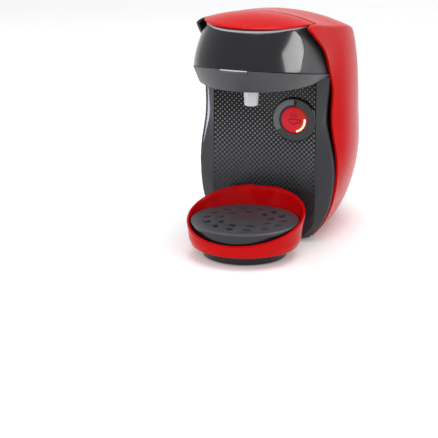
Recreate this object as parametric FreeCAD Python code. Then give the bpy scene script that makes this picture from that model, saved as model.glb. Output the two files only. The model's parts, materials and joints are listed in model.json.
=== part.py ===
import FreeCAD, Part
import math
import os

# Pod coffee machine, millimetres. +Z is up and the front of the machine looks towards -Y.
# The origin is the middle of the floor that the machine stands on.

# ---------------------------------------------------------------- driving dimensions
HEIGHT = 255.0              # floor to the highest point of the lid
WIDTH = 168.0               # widest place of the body
DEPTH = 305.0               # front of the cup stand to the back of the body

WALL = 2.6                  # moulded body shells
SKIN = 2.2                  # thin outer skins of the lid
GAP = 0.4                   # shut line between two fixed covers
RUN = 0.3                   # air round a part that slides or turns
PIN_FIT = 0.05              # radial clearance of a pin in its bore
LID_GAP = 1.1               # shut line round the lid

STAND_R = 63.0              # cup stand bowl, outer radius at the rim
STAND_BOTTOM_R = 59.5       # the same at its floor
STAND_FLOOR_Z = 11.0        # underside of the bowl
STAND_RIM_FRONT_Z = 25.0    # rim height at the front
STAND_RIM_BACK_Z = 60.0     # rim height at the back
STAND_WALL = 3.0
FOOT_R = 47.0               # dark foot under the bowl
GRATE_Z = 39.0              # top of the drip grate
GRATE_T = 2.6
TRAY_WALL = 1.8

PANEL_T = 2.0               # patterned front panel
PANEL_HALF = 58.0           # half its width
PANEL_BOTTOM_Z = 24.0
PANEL_CORNER_R = 18.0
STRIP_DEPTH = 8.0           # how far the side strips slope back from the panel

CHIN_Z = 183.0              # underside of the brew head
CREASE_FRONT_Z = 209.0      # lower edge of the visor at the front
CREASE_SLOPE = 0.20         # how fast that edge drops towards the back
HEAD_REACH = 107.3          # brew head, from the panel to the tip of the visor
VISOR_HALF = 59.0           # half the visor's width at its lower edge
VISOR_LEAN = 14.0           # how far its side edges curve inwards
VISOR_RISE = 29.0           # over this height

NOZZLE_TIP_Z = 159.0
NOZZLE_R = 8.2
NOZZLE_AHEAD = 46.0         # nozzle axis ahead of the front panel

BUTTON_X = 34.0
BUTTON_Z = 135.5
BEZEL_R = 24.0
BUTTON_R = 14.6
BUTTON_TRAVEL = 2.0

TANK_INNER_X = 47.0         # flat inner side of the water tank
TANK_FLOOR_Z = 40.0
TANK_BACK_Y = 88.0
TANK_WALL = 2.4
TANK_LIFT = 2.0             # space between the bay floor and the tank's underside

GRIP_HALF = 14.5            # finger grip under the visor
GRIP_DROP = 4.4
GRIP_T = 1.5
GRIP_PROUD = 1.2

LEAF_HALF = 59.0            # half the lid cover's width, tip to tip
LEAF_DEPTH = 69.0           # from the tips forward to its front edge
LEAF_BACK_RISE = 6.0        # how far its back edge bows backwards
LEAF_LIP = 0.7              # thin edge of the lid cover, so that it swings clear of the shell
LEAF_REBATE = 1.6           # width of that edge
ARM_TIP = 18.0              # from the tips forward to where the red arms get narrower

HINGE_BEHIND_TIPS = 23.0    # lid pivot behind the lid cover's tips
HINGE_DROP = 19.0           # lid pivot below the highest point
HINGE_PIN_R = 2.5

M3_R = 1.5
M3_HEAD_R = 2.8

# inner pieces
LID_FRAME_HALF = 38.0
ARM_X = 32.0                # middle of each lid arm
ARM_T = 6.0
CHASSIS_HALF = 40.5
CHASSIS_T = 3.0
CHASSIS_TOP_Z = 226.0
BASE_Z0 = 3.5               # underside of the base plate
BASE_Z1 = 7.0
PIERCER_R = 11.0
BREW_R = 36.0               # block under the pod
BREW_TOP_Z = 203.0
POD_SEAT_R = 31.0
POD_SEAT_DEPTH = 5.5
PRESS_Z = 214.0             # underside of the pod press plate
PRESS_R = 27.0
PRESS_STEM_R = 4.0
PRESS_STEM = 18.0
VALVE_X = -56.5
VALVE_Y = 34.0
SPIGOT_R = 4.6
FLANGE_R = 6.4
STEM_R = 1.5
HOSE_R = 3.5
HOSE_BORE = 1.6
NIPPLE_Z = 30.0
TONGUE_HALF = 16.0          # tongue of the cup stand that hooks under the body
TONGUE_Z0 = 7.6
TONGUE_Z1 = 10.6
BEZEL_NECK_R = 20.5
BEZEL_PROUD = 3.2
LIGHT_R = (11.3, 13.3)      # lit arc in the button's face
CRESCENT_R = (16.5, 22.8)
BUSH_R = 7.0                # rubber bush for the mains lead
BUSH_BORE = 3.6
BUSH_Z = 30.0
PUMP_R = 16.0
PUMP_Z = 58.0
PUMP_X = (0.0, 52.0)
METER_X = -16.0
METER_R = 13.0
HEATER_X = (14.0, 54.0)
HEATER_HALF_Y = 19.0
HEATER_Z = (96.0, 176.0)
OUTLET_X = 22.0             # hot water hose
HOT_HOSE_Z = 191.0
SHELL_BOTTOM_Z = 3.0        # underside of the outer shells
BAY_WALL = 2.0              # walls of the tank bay
CHEEK_T = 2.4               # wall of the cheeks beside the visor
CHEEK_INNER_X = 41.0        # their inner edge
TANK_LID_T = 4.0
FLOAT_Y = 62.0              # middle of the level float
FLOAT_GUIDE = 70.0          # length of its guide
SUCTION_X0 = -41.0          # suction hose, from this x
SUCTION_X1 = -32.5          # to this one
METER_Z0 = 22.0             # flow meter
FOOT_PIN_R = 2.0            # pins of the feet
CHASSIS_FOOT = 14.0
CRADLE_Y = 24.0
PUMP_OUT_X = 47.0           # pump outlet
PUMP_OUT_Z = 80.0
FEET = [(-36.0, -1.0), (36.0, 2.0), (-30.0, 78.0), (30.0, 78.0)]

# ---------------------------------------------------------------- places that follow
FRONT_Y = -DEPTH / 2
REAR_Y = DEPTH / 2
STAND_HEIGHT = STAND_RIM_BACK_Z + 6.0 - STAND_FLOOR_Z
STAND_SPREAD = (STAND_R - STAND_BOTTOM_R) / STAND_HEIGHT
STAND_Y = FRONT_Y + STAND_BOTTOM_R + STAND_SPREAD * (STAND_RIM_FRONT_Z - STAND_FLOOR_Z)
PANEL_Y = STAND_Y + STAND_R + 0.8                 # outer face of the front panel
STRIP_Y = PANEL_Y + STRIP_DEPTH                   # outer edge of the side strips
SHUT_Y = STRIP_Y + 7.0                            # shut line, dark frame to red shell
WIDEST_Y = STRIP_Y + 46.0                         # plane of the greatest width
REAR_COVER_Y = REAR_Y - 40.0
HEAD_TIP_Y = PANEL_Y - HEAD_REACH
LEAF_Y = HEAD_TIP_Y + 93.0                        # line through the lid cover's two tips
NOZZLE_Y = PANEL_Y - NOZZLE_AHEAD
HINGE_Y = LEAF_Y + HINGE_BEHIND_TIPS
HINGE_Z = HEIGHT - HINGE_DROP
CHASSIS_Y = SHUT_Y + 0.3
FAR = 400.0

# Body form: height, half width at the strips, greatest half width, back; all but the
# back as shares of HEIGHT and WIDTH/2, the back as a distance in front of REAR_Y.
BODY_FORM = [
    (0.000, 0.548, 0.560, 27.0),
    (0.031, 0.643, 0.655, 20.0),
    (0.078, 0.750, 0.762, 13.0),
    (0.141, 0.833, 0.857, 8.0),
    (0.235, 0.887, 0.946, 2.5),
    (0.329, 0.889, 0.994, 0.0),
    (0.408, 0.849, 1.000, 0.0),
    (0.490, 0.792, 0.988, 0.0),
    (0.573, 0.780, 0.980, 0.8),
    (0.667, 0.810, 0.970, 3.5),
    (0.765, 0.838, 0.946, 9.0),
    (0.843, 0.842, 0.912, 18.0),
    (0.922, 0.798, 0.845, 32.0),
    (1.030, 0.700, 0.745, 54.0),
]
# Top of the body along its middle line: distance from FRONT_Y or REAR_Y, and the drop
# below HEIGHT.
TOP_FORM = [
    (FRONT_Y - 10.0, 16.5),
    (HEAD_TIP_Y, 10.5),
    (HEAD_TIP_Y + 22.0, 6.8),
    (HEAD_TIP_Y + 44.0, 2.6),
    (HEAD_TIP_Y + 70.0, 0.0),
    (HEAD_TIP_Y + 92.0, 0.9),
    (SHUT_Y - 10.0, 3.8),
    (SHUT_Y + 13.0, 7.0),
    (SHUT_Y + 43.0, 11.0),
    (SHUT_Y + 73.0, 18.5),
    (REAR_Y - 62.0, 31.5),
    (REAR_Y - 32.0, 53.0),
    (REAR_Y - 12.0, 82.0),
    (REAR_Y + 8.0, 125.0),
]
CROWN = 0.0029              # crosswise curvature: drop = CROWN * x * x


# ---------------------------------------------------------------- shape helpers
def vec(x, y, z):
    return FreeCAD.Vector(x, y, z)


def box(x0, x1, y0, y1, z0, z1):
    return Part.makeBox(x1 - x0, y1 - y0, z1 - z0, vec(x0, y0, z0))


def rod(x, y, z, radius, length, axis="z"):
    direction = {"x": vec(1, 0, 0), "y": vec(0, 1, 0), "z": vec(0, 0, 1)}[axis]
    return Part.makeCylinder(radius, length, vec(x, y, z), direction)


def ring(x, y, z, outer, inner, length, axis="z"):
    return rod(x, y, z, outer, length, axis).cut(rod(x, y, z, inner, length, axis))


def cone(x, y, z, low, high, length, direction=None):
    return Part.makeCone(low, high, length, vec(x, y, z), direction or vec(0, 0, 1))


def polygon(points):
    return Part.makePolygon(points + [points[0]])


def prism(points, shift):
    return Part.Face(polygon(points)).extrude(shift)


def mirror_x(shape):
    return shape.mirror(vec(0, 0, 0), vec(1, 0, 0))


def fuse(shapes):
    whole = shapes[0].multiFuse(shapes[1:]) if len(shapes) > 1 else shapes[0]
    return whole.removeSplitter()


def smooth(points, start=None, end=None):
    curve = Part.BSplineCurve()
    if start is None:
        curve.interpolate(points)
    else:
        curve.interpolate(Points=points, InitialTangent=start, FinalTangent=end)
    return curve.toShape()


def line(a, b):
    return Part.LineSegment(a, b).toShape()


def biggest(shape):
    return max(shape.Solids, key=lambda solid: solid.Volume)


def rounded_box(x0, x1, y0, y1, z0, z1, radius):
    solid = box(x0, x1, y0, y1, z0, z1)
    upright = [e for e in solid.Edges if abs(e.Vertexes[0].Z - e.Vertexes[-1].Z) > 0.1]
    return solid.makeFillet(radius, upright)


# ---------------------------------------------------------------- master forms
def form_rows():
    for share, strip, wide, back in BODY_FORM:
        yield share * HEIGHT, strip * WIDTH / 2, wide * WIDTH / 2, REAR_Y - back


def back_at(z):
    """Y of the body's back on its middle line, at one height."""
    rows = list(form_rows())
    for low, high in zip(rows, rows[1:]):
        if low[0] <= z <= high[0]:
            share = (z - low[0]) / (high[0] - low[0])
            return low[3] + share * (high[3] - low[3])
    return rows[-1][3]


def body_wire(z, strip, wide, back, inset):
    """Plan of the body at one height: nearly straight sides ahead of the strips, a
    flare behind them, and a half ellipse round the back."""
    front = HEAD_TIP_Y + 45.0
    strip = strip + 2.0 - inset
    wide = wide - inset
    back = back - inset
    nose = strip - 6.5
    reach = back - WIDEST_Y
    right = [vec(nose, front, z), vec(strip, STRIP_Y, z)]
    right.append(vec(strip + 0.74 * (wide - strip), STRIP_Y + 21.0, z))
    for degrees in (0, 24, 48, 70):
        turn = math.radians(degrees)
        right.append(vec(wide * math.cos(turn), WIDEST_Y + reach * math.sin(turn), z))
    right.append(vec(0, back, z))
    left = [vec(-p.x, p.y, z) for p in reversed(right[:-1])]
    around = smooth(right + left, vec(0.12, 1, 0), vec(0.12, -1, 0))
    return Part.Wire([around, line(left[-1], right[0])])


def body_form(inset):
    wires = [body_wire(z, strip, wide, back, inset) for z, strip, wide, back in form_rows()]
    return Part.makeLoft(wires, True, False)


def top_form(drop):
    """Everything under the crowned top of the body, lowered by drop."""
    wires = []
    half = WIDTH / 2 + 12.0
    for y, fall in TOP_FORM:
        middle = HEIGHT - fall - drop
        edge = middle - CROWN * half * half
        crown = Part.Arc(vec(half, y, edge), vec(0, y, middle), vec(-half, y, edge)).toShape()
        floor = -20.0
        wires.append(Part.Wire([
            crown,
            line(vec(-half, y, edge), vec(-half, y, floor)),
            line(vec(-half, y, floor), vec(half, y, floor)),
            line(vec(half, y, floor), vec(half, y, edge)),
        ]))
    return Part.makeLoft(wires, True, False)


def strip_wire(z, strip, inset):
    """Plan of the dark front frame: flat front, sloping strips, open back."""
    half = min(PANEL_HALF, strip - 7.0) - 0.5 * inset
    edge = strip - inset
    front = PANEL_Y + inset
    return polygon([
        vec(-half, front, z), vec(half, front, z), vec(edge, STRIP_Y + 0.5 * inset, z),
        vec(edge + 0.8, SHUT_Y + 6.0, z), vec(-edge - 0.8, SHUT_Y + 6.0, z),
        vec(-edge, STRIP_Y + 0.5 * inset, z),
    ])


def strip_form(inset):
    wires = [strip_wire(z, strip, inset) for z, strip, _, _ in form_rows() if z < CHIN_Z + 40]
    return Part.makeLoft(wires, True, False)


def crease_z(y):
    return CREASE_FRONT_Z - CREASE_SLOPE * (y - HEAD_TIP_Y)


def head_wire(half, reach, flare, height_at, inset):
    """Plan of the brew head: half an ellipse in front, straight sides behind."""
    half = half - inset
    reach = reach - inset
    back = SHUT_Y + 2.0

    def point(x, y):
        return vec(x, y, height_at(y))

    front = []
    steps = 12
    for i in range(steps + 1):
        turn = math.pi * i / steps
        front.append(point(half * math.cos(turn), LEAF_Y - reach * math.sin(turn)))
    right_back = point(half + flare, back)
    left_back = point(-half - flare, back)
    slope = height_at(0.0) - height_at(1.0)
    curve = smooth(front, vec(0, -1, slope), vec(0, 1, -slope))
    return Part.Wire([
        curve,
        line(front[-1], left_back),
        line(left_back, right_back),
        line(right_back, front[0]),
    ])


HEAD_CREASE = (69.0, 93.0, 1.5)        # half width, reach ahead of LEAF_Y, flare to the back
HEAD_SHOULDER = (65.0, 86.5, 3.0)
HEAD_TOP = (47.0, 58.0, 9.0)
HEAD_CHIN = (64.5, 78.0, 4.0)


def upper_head(inset):
    shoulder_z = CREASE_FRONT_Z + 15.0
    top_z = HEIGHT + 6.0
    lower = head_wire(*HEAD_CREASE, crease_z, inset)
    shoulder = head_wire(*HEAD_SHOULDER, lambda y: shoulder_z - 0.08 * (y - HEAD_TIP_Y), inset)
    top = head_wire(*HEAD_TOP, lambda y: top_z, inset)
    return Part.makeLoft([lower, shoulder, top], True, False)


def lower_head(inset, floor_z):
    chin = head_wire(*HEAD_CHIN, lambda y: floor_z, inset)
    crease = head_wire(*HEAD_CREASE, crease_z, inset)
    return Part.makeLoft([chin, crease], True, True)


def leaf_prism(offset, z0, z1):
    """Upright prism over the lid cover's outline, grown by offset."""
    half = LEAF_HALF + offset
    reach = LEAF_DEPTH + offset
    front = []
    for i in range(13):
        turn = math.pi * i / 12
        front.append(vec(half * math.cos(turn), LEAF_Y - reach * math.sin(turn), z0))
    left, right = vec(-half, LEAF_Y + max(offset, 0.0), z0), vec(half, LEAF_Y + max(offset, 0.0), z0)
    bow = Part.Arc(left, vec(0, LEAF_Y + LEAF_BACK_RISE + offset, z0), right).toShape()
    sides = [line(front[-1], left), line(right, front[0])] if offset > 0 else []
    outline = Part.Wire(Part.__sortEdges__([smooth(front, vec(0, -1, 0), vec(0, 1, 0)), bow] + sides))
    return Part.Face(outline).extrude(vec(0, 0, z1 - z0))


def red_region(gap):
    """Everything behind the S-shaped shut line of the dark front, seen from the side."""
    low = vec(-FAR, SHUT_Y + gap, -5.0)
    knee = vec(-FAR, SHUT_Y + gap, CHIN_Z - 23.0)
    arc = [knee]
    for ahead, height in ((6.0, -1.0), (14.0, 14.0), (31.0, 36.0), (50.0, 53.0), (63.0, 71.0)):
        arc.append(vec(-FAR, SHUT_Y - ahead + gap, CHIN_Z + height))
    arc.append(vec(-FAR, SHUT_Y - 68.0 + gap, HEIGHT + 8.0))
    curve = smooth(arc, vec(0, 0, 1), vec(0, -0.5, 1))
    top = arc[-1]
    outline = Part.Wire([
        line(low, knee),
        curve,
        line(top, vec(-FAR, REAR_Y + 40.0, top.z)),
        line(vec(-FAR, REAR_Y + 40.0, top.z), vec(-FAR, REAR_Y + 40.0, low.z)),
        line(vec(-FAR, REAR_Y + 40.0, low.z), low),
    ])
    return Part.Face(outline).extrude(vec(2 * FAR, 0, 0))


def under_crease(offset):
    """Everything below the plane of the visor's lower edge, raised by offset."""
    front, back = -FAR, FAR
    return prism([
        vec(-FAR, front, -FAR), vec(-FAR, front, crease_z(front) + offset),
        vec(-FAR, back, crease_z(back) + offset), vec(-FAR, back, -FAR),
    ], vec(2 * FAR, 0, 0))


def save(name, shape):
    solids = shape.Solids
    if not solids or not shape.isValid():
        print("check this shape:", name, len(solids), shape.isValid())
    result = solids[0] if len(solids) == 1 else Part.makeCompound(solids)
    result.exportStep("parts/" + name + ".step")


os.makedirs("parts", exist_ok=True)

# ---------------------------------------------------------------- body covers
BODY = body_form(0.0).common(top_form(0.0))
BODY_INSIDE = body_form(WALL).common(top_form(WALL))
BAY_FLOOR_Z = TANK_FLOOR_Z - TANK_LIFT            # top of the tank bay's floor
BAY_X = TANK_INNER_X - 1.0                        # face of the bay's inner wall
BAY_FRONT_Y = SHUT_Y + GAP
BAY_BACK_Y = TANK_BACK_Y + 1.0
COVER_LEFT_Y = BAY_BACK_Y + BAY_WALL + GAP
TANK_FRONT_Y = BAY_FRONT_Y + BAY_WALL + 0.6


def left_of(x, y0, y1, z0, z1):
    return box(-FAR, -x, y0, y1, z0, z1)


def make_covers():
    shell = BODY.cut(BODY_INSIDE).common(box(-FAR, FAR, -FAR, FAR, SHELL_BOTTOM_Z, FAR))
    bay = left_of(BAY_X, SHUT_Y - 0.1, REAR_COVER_Y + 1.0, -5, FAR)
    back = box(-FAR, FAR, REAR_COVER_Y, FAR, -5, FAR)
    leaf_slot = leaf_prism(LID_GAP, CHIN_Z + 30, FAR)
    visor_path = box(-VISOR_HALF - GAP, VISOR_HALF + GAP, -FAR, LEAF_Y - ARM_TIP, CHIN_Z + 30, FAR)
    leaf_slot = leaf_slot.fuse(visor_path).cut(top_form(WALL + 2.0))
    red = shell.common(red_region(GAP)).cut(bay).cut(back).cut(leaf_slot)
    save("red_shell", biggest(red))
    back_zone = box(-FAR, FAR, REAR_COVER_Y + GAP, FAR, -5, FAR)
    left_zone = left_of(BAY_X, COVER_LEFT_Y + 0.1, REAR_COVER_Y + 1.0, -5, FAR)
    rear = shell.common(back_zone.fuse(left_zone))
    slots = [box(-24, 24, 60, FAR, z, z + 3.0) for z in range(60, 108, 8)]
    bush_hole = rod(0, REAR_COVER_Y + 5, BUSH_Z, BUSH_R + 0.1, 80, "y")
    rear = rear.cut(Part.makeCompound(slots)).cut(bush_hole)
    save("rear_cover", biggest(rear))
    return shell


def make_tank_bay(shell):
    """Dark moulding that the tank stands in: floor, three walls and a skirt."""
    top = top_form(WALL + 0.3)
    zone = left_of(BAY_X - BAY_WALL, BAY_FRONT_Y, BAY_BACK_Y + BAY_WALL, SHELL_BOTTOM_Z, FAR)
    inner = box(-BAY_X, -BAY_X + BAY_WALL, BAY_FRONT_Y, BAY_BACK_Y + BAY_WALL,
                SHELL_BOTTOM_Z + 5.0, FAR).common(top)
    outline = body_form(0.2).common(top)
    behind = left_of(BAY_X - 0.5, BAY_BACK_Y, BAY_BACK_Y + BAY_WALL, SHELL_BOTTOM_Z + 5.0, FAR)
    ahead = left_of(BAY_X - 0.5, BAY_FRONT_Y, BAY_FRONT_Y + BAY_WALL,
                    SHELL_BOTTOM_Z + 5.0, CHIN_Z - 30.0)
    floor = left_of(BAY_X - 0.5, BAY_FRONT_Y, BAY_BACK_Y + 0.5, BAY_FLOOR_Z - 2.5, BAY_FLOOR_Z)
    walls = outline.common(Part.makeCompound([behind, ahead, floor]))
    skirt = shell.common(left_of(BAY_X - 0.5, BAY_FRONT_Y, BAY_BACK_Y + BAY_WALL,
                                 SHELL_BOTTOM_Z, BAY_FLOOR_Z))
    bay = fuse([inner] + walls.Solids + skirt.Solids).common(zone)
    bay = bay.cut(rod(VALVE_X, VALVE_Y, 0, SPIGOT_R + 0.6, FAR))
    bay = bay.cut(rod(-BAY_X - 5, VALVE_Y, NIPPLE_Z, HOSE_R + 0.5, 12, "x"))
    save("tank_bay", biggest(bay))


def panel_outline(shrink, y0, depth):
    """The panel's upright outline, with rounded lower corners."""
    half = PANEL_HALF - 0.5 - shrink
    low = PANEL_BOTTOM_Z + shrink
    high = CHIN_Z - 3.0 - shrink
    radius = PANEL_CORNER_R - shrink
    swing = radius * math.sqrt(0.5)
    left_mid = vec(-half + radius - swing, y0, low + radius - swing)
    right_mid = vec(half - radius + swing, y0, low + radius - swing)
    outline = Part.Wire([
        line(vec(-half, y0, high), vec(-half, y0, low + radius)),
        Part.Arc(vec(-half, y0, low + radius), left_mid,
                 vec(-half + radius, y0, low)).toShape(),
        line(vec(-half + radius, y0, low), vec(half - radius, y0, low)),
        Part.Arc(vec(half - radius, y0, low), right_mid,
                 vec(half, y0, low + radius)).toShape(),
        line(vec(half, y0, low + radius), vec(half, y0, high)),
        line(vec(half, y0, high), vec(-half, y0, high)),
    ])
    return Part.Face(outline).extrude(vec(0, depth, 0))


def make_front():
    frame = strip_form(0.0).cut(strip_form(WALL))
    frame = frame.common(box(-FAR, FAR, -FAR, SHUT_Y, SHELL_BOTTOM_Z, CHIN_Z - 0.4))
    frame = frame.cut(panel_outline(0.0, PANEL_Y - 1.0, 6.0))
    slot = box(-TONGUE_HALF - RUN, TONGUE_HALF + RUN, -FAR, PANEL_Y + 6,
               TONGUE_Z0 - RUN, TONGUE_Z1 + RUN)
    ledge = panel_outline(-1.2, PANEL_Y + PANEL_T + 0.1, 1.6)
    ledge = ledge.cut(panel_outline(2.4, PANEL_Y, 6.0)).common(strip_form(0.8))
    frame = fuse([biggest(frame.cut(slot))] + ledge.Solids).cut(red_region(0.0))
    save("front_frame", frame)
    panel = panel_outline(0.25, PANEL_Y, PANEL_T)
    panel = panel.cut(rod(BUTTON_X, PANEL_Y - 1, BUTTON_Z, BEZEL_NECK_R + 0.1, 8, "y"))
    save("front_panel", panel)


# ---------------------------------------------------------------- brew head
CHEEK_INSET = SKIN + 0.4


def make_head():
    chin = lower_head(0.0, CHIN_Z).cut(lower_head(WALL, CHIN_Z).common(
        box(-FAR, FAR, -FAR, FAR, CHIN_Z + WALL, FAR)))
    chin = chin.common(box(-FAR, FAR, -FAR, SHUT_Y - 0.1, -FAR, FAR)).cut(red_region(0.0))
    chin = chin.cut(rod(0, NOZZLE_Y, CHIN_Z - 5, PIERCER_R + 0.3, 20))
    pocket = lower_head(-4.0, CHIN_Z).cut(lower_head(GRIP_T + RUN, CHIN_Z))
    pocket = pocket.common(box(-GRIP_HALF - RUN, GRIP_HALF + RUN, -FAR, HEAD_TIP_Y + 12.0,
                               CREASE_FRONT_Z - GRIP_DROP - RUN, FAR))
    save("chin_shell", biggest(chin.cut(pocket)))

    outer = upper_head(CHEEK_INSET).common(top_form(WALL + 0.4))
    inner = upper_head(CHEEK_INSET + CHEEK_T).common(top_form(WALL + 0.4 + CHEEK_T))
    cheeks = outer.cut(inner).cut(under_crease(GAP))
    cheeks = cheeks.common(box(-FAR, FAR, -FAR, SHUT_Y, -FAR, FAR))
    right = cheeks.common(box(CHEEK_INNER_X, FAR, -FAR, FAR, 0, FAR))
    right = biggest(right)
    save("right_cheek", right)
    save("left_cheek", mirror_x(right))


def visor_prism():
    """Front view of the visor: upright sides that curve inwards near the top."""
    radius = (VISOR_RISE ** 2 + VISOR_LEAN ** 2) / (2 * VISOR_LEAN)
    bend_z = CREASE_FRONT_Z + 8.0
    turn = math.radians(70)
    y0 = -FAR

    def at(side, angle):
        x = VISOR_HALF - radius + radius * math.cos(angle)
        return vec(side * x, y0, bend_z + radius * math.sin(angle))

    low_z = CHIN_Z - 20
    outline = Part.Wire([
        line(vec(-VISOR_HALF, y0, low_z), vec(VISOR_HALF, y0, low_z)),
        line(vec(VISOR_HALF, y0, low_z), at(1, 0)),
        Part.Arc(at(1, 0), at(1, turn / 2), at(1, turn)).toShape(),
        line(at(1, turn), at(-1, turn)),
        Part.Arc(at(-1, turn), at(-1, turn / 2), at(-1, 0)).toShape(),
        line(at(-1, 0), vec(-VISOR_HALF, y0, low_z)),
    ])
    return Part.Face(outline).extrude(vec(0, FAR + LEAF_Y - 12.0, 0))


def make_lid():
    visor = upper_head(0.0).cut(upper_head(SKIN)).common(visor_prism())
    visor = visor.common(top_form(SKIN + 2.0)).cut(under_crease(0.6))
    save("visor", biggest(visor))

    band = upper_head(0.0).cut(upper_head(SKIN))
    band = band.common(top_form(SKIN + 0.2)).cut(top_form(SKIN + 1.8))
    band = band.common(box(-FAR, FAR, -FAR, LEAF_Y - 14.0, 0, FAR))
    save("lid_trim", biggest(band))

    leaf = top_form(0.0).cut(top_form(LEAF_LIP)).common(leaf_prism(0.0, CHIN_Z, FAR))
    under_leaf = top_form(LEAF_LIP).cut(top_form(SKIN)).common(leaf_prism(-LEAF_REBATE, CHIN_Z, FAR))
    save("lid_cover", biggest(leaf.fuse(under_leaf)))

    seat = SKIN + 0.25
    hull = upper_head(seat).common(top_form(seat))
    hollow = upper_head(seat + 2.4).common(top_form(seat + 2.4))
    tray = hull.cut(hollow).cut(under_crease(4.0))
    tray = tray.common(box(-LID_FRAME_HALF, LID_FRAME_HALF, -FAR, LEAF_Y - 6.0, 0, FAR))
    under = top_form(seat + 1.0)
    arms = []
    for side in (-1, 1):
        middle = side * ARM_X
        profile = [
            (HINGE_Y, HINGE_Z + 6.0), (HINGE_Y, HINGE_Z - 6.0),
            (HINGE_Y - 25.0, HINGE_Z - 19.0), (HINGE_Y - 37.0, HINGE_Z - 17.0),
            (HINGE_Y - 40.0, HINGE_Z + 22.0), (HINGE_Y - 31.5, HINGE_Z + 22.0),
            (HINGE_Y - 28.0, HINGE_Z - 10.5),
        ]
        points = [vec(middle - ARM_T / 2, y, z) for y, z in profile]
        arm = prism(points, vec(ARM_T, 0, 0)).common(under)
        boss = rod(middle - ARM_T / 2, HINGE_Y, HINGE_Z, 6.0, ARM_T, "x")
        arms.append(arm.fuse(boss))
    guide = rod(0, NOZZLE_Y, PRESS_Z + 9.0, 9.0, 60).common(under)
    frame = fuse([biggest(tray), guide] + arms)
    frame = frame.cut(rod(-60, HINGE_Y, HINGE_Z, HINGE_PIN_R + PIN_FIT, 120, "x"))
    frame = frame.cut(rod(0, NOZZLE_Y, PRESS_Z, PRESS_STEM_R + 0.1, PRESS_STEM + 4.5))
    save("lid_frame", biggest(frame))
    save("lid_hinge_pin", rod(-CHASSIS_HALF, HINGE_Y, HINGE_Z, HINGE_PIN_R, 2 * CHASSIS_HALF, "x"))

    plate = rod(0, NOZZLE_Y, PRESS_Z, PRESS_R, 2.5)
    stem = rod(0, NOZZLE_Y, PRESS_Z + 1.0, PRESS_STEM_R, PRESS_STEM)
    rim = ring(0, NOZZLE_Y, PRESS_Z - 1.5, PRESS_R, PRESS_R - 3.0, 2.0)
    save("pod_press", fuse([plate, stem, rim]))
    coil = spring(0, NOZZLE_Y, PRESS_Z + 2.6, 6.6, 0.45, 6.2, 4)
    save("press_spring", coil)

    grip = lower_head(-GRIP_PROUD, CHIN_Z).cut(lower_head(GRIP_T, CHIN_Z))
    grip = grip.common(box(-GRIP_HALF, GRIP_HALF, -FAR, HEAD_TIP_Y + 10.0,
                           CREASE_FRONT_Z - GRIP_DROP, FAR))
    save("lid_grip", biggest(grip))


def spring(x, y, z, radius, wire, length, turns):
    """Coil spring along +Z, from the face at z, with its axis at x, y."""
    pitch = (length - 2 * wire) / turns
    helix = Part.makeHelix(pitch, length - 2 * wire, radius)
    section = Part.Wire([Part.Circle(vec(radius, 0, 0), vec(0, 1, 0), wire).toShape()])
    coil = Part.Wire(helix).makePipeShell([section], True, True)
    coil.translate(vec(x, y, z + wire))
    return coil


# ---------------------------------------------------------------- water tank


def make_tank():
    zone = left_of(TANK_INNER_X, TANK_FRONT_Y, TANK_BACK_Y, TANK_FLOOR_Z, FAR)
    whole = BODY.common(zone)

    def inside(air):
        wall = TANK_WALL + air
        return body_form(wall).common(left_of(
            TANK_INNER_X + wall, TANK_FRONT_Y + wall, TANK_BACK_Y - wall,
            TANK_FLOOR_Z + TANK_WALL, FAR))

    tank = whole.common(top_form(TANK_LID_T + 0.3)).cut(inside(0.0))
    tank = tank.cut(rod(VALVE_X, VALVE_Y, TANK_FLOOR_Z - 1, SPIGOT_R + 0.1, TANK_WALL + 2))
    save("water_tank", biggest(tank))
    cover = whole.cut(top_form(TANK_LID_T))
    lip = inside(RUN).cut(inside(RUN + 2.0))
    lip = lip.common(top_form(TANK_LID_T - 0.5)).cut(top_form(TANK_LID_T + 6.0))
    save("tank_lid", fuse([biggest(cover), biggest(lip)]))

    floor = TANK_FLOOR_Z + TANK_WALL
    seal = ring(VALVE_X, VALVE_Y, floor, FLANGE_R, SPIGOT_R + 0.1, 1.2)
    save("valve_seal", seal)
    bottom = NIPPLE_Z + 2.0
    body = rod(VALVE_X, VALVE_Y, bottom, SPIGOT_R, floor + 1.2 - bottom)
    body = body.fuse(rod(VALVE_X, VALVE_Y, floor + 1.2, FLANGE_R, 1.8))
    body = body.cut(rod(VALVE_X, VALVE_Y, bottom - 1, 2.4, 40)).removeSplitter()
    save("valve_body", body)
    seat = floor + 3.0
    cage = ring(VALVE_X, VALVE_Y, seat, 6.3, 5.0, 8.0)
    for turn in (0, 90):
        window = box(-10, 10, -1.8, 1.8, 1.5, 6.0)
        window.rotate(vec(0, 0, 0), vec(0, 0, 1), turn)
        window.translate(vec(VALVE_X, VALVE_Y, seat))
        cage = cage.cut(window)
    cap = ring(VALVE_X, VALVE_Y, seat + 8.0, 6.3, 1.8, 1.4)
    save("valve_cage", cage.fuse(cap).removeSplitter())
    head = rod(VALVE_X, VALVE_Y, seat + 0.2, 4.2, 1.8)
    stem = rod(VALVE_X, VALVE_Y, bottom + 2.0, STEM_R, seat - bottom - 1.6)
    save("valve_plunger", head.fuse(stem).removeSplitter())
    save("valve_spring", spring(VALVE_X, VALVE_Y, seat + 2.1, 3.0, 0.35, 5.8, 4))

    guide = rod(VALVE_X, FLOAT_Y, floor, 1.5, FLOAT_GUIDE)
    stop = rod(VALVE_X, FLOAT_Y, floor + FLOAT_GUIDE, 2.6, 1.5)
    save("float_guide", guide.fuse(stop).removeSplitter())
    save("level_float", ring(VALVE_X, FLOAT_Y, floor + 1.0, 5.6, 1.5 + RUN, 12.0))


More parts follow.
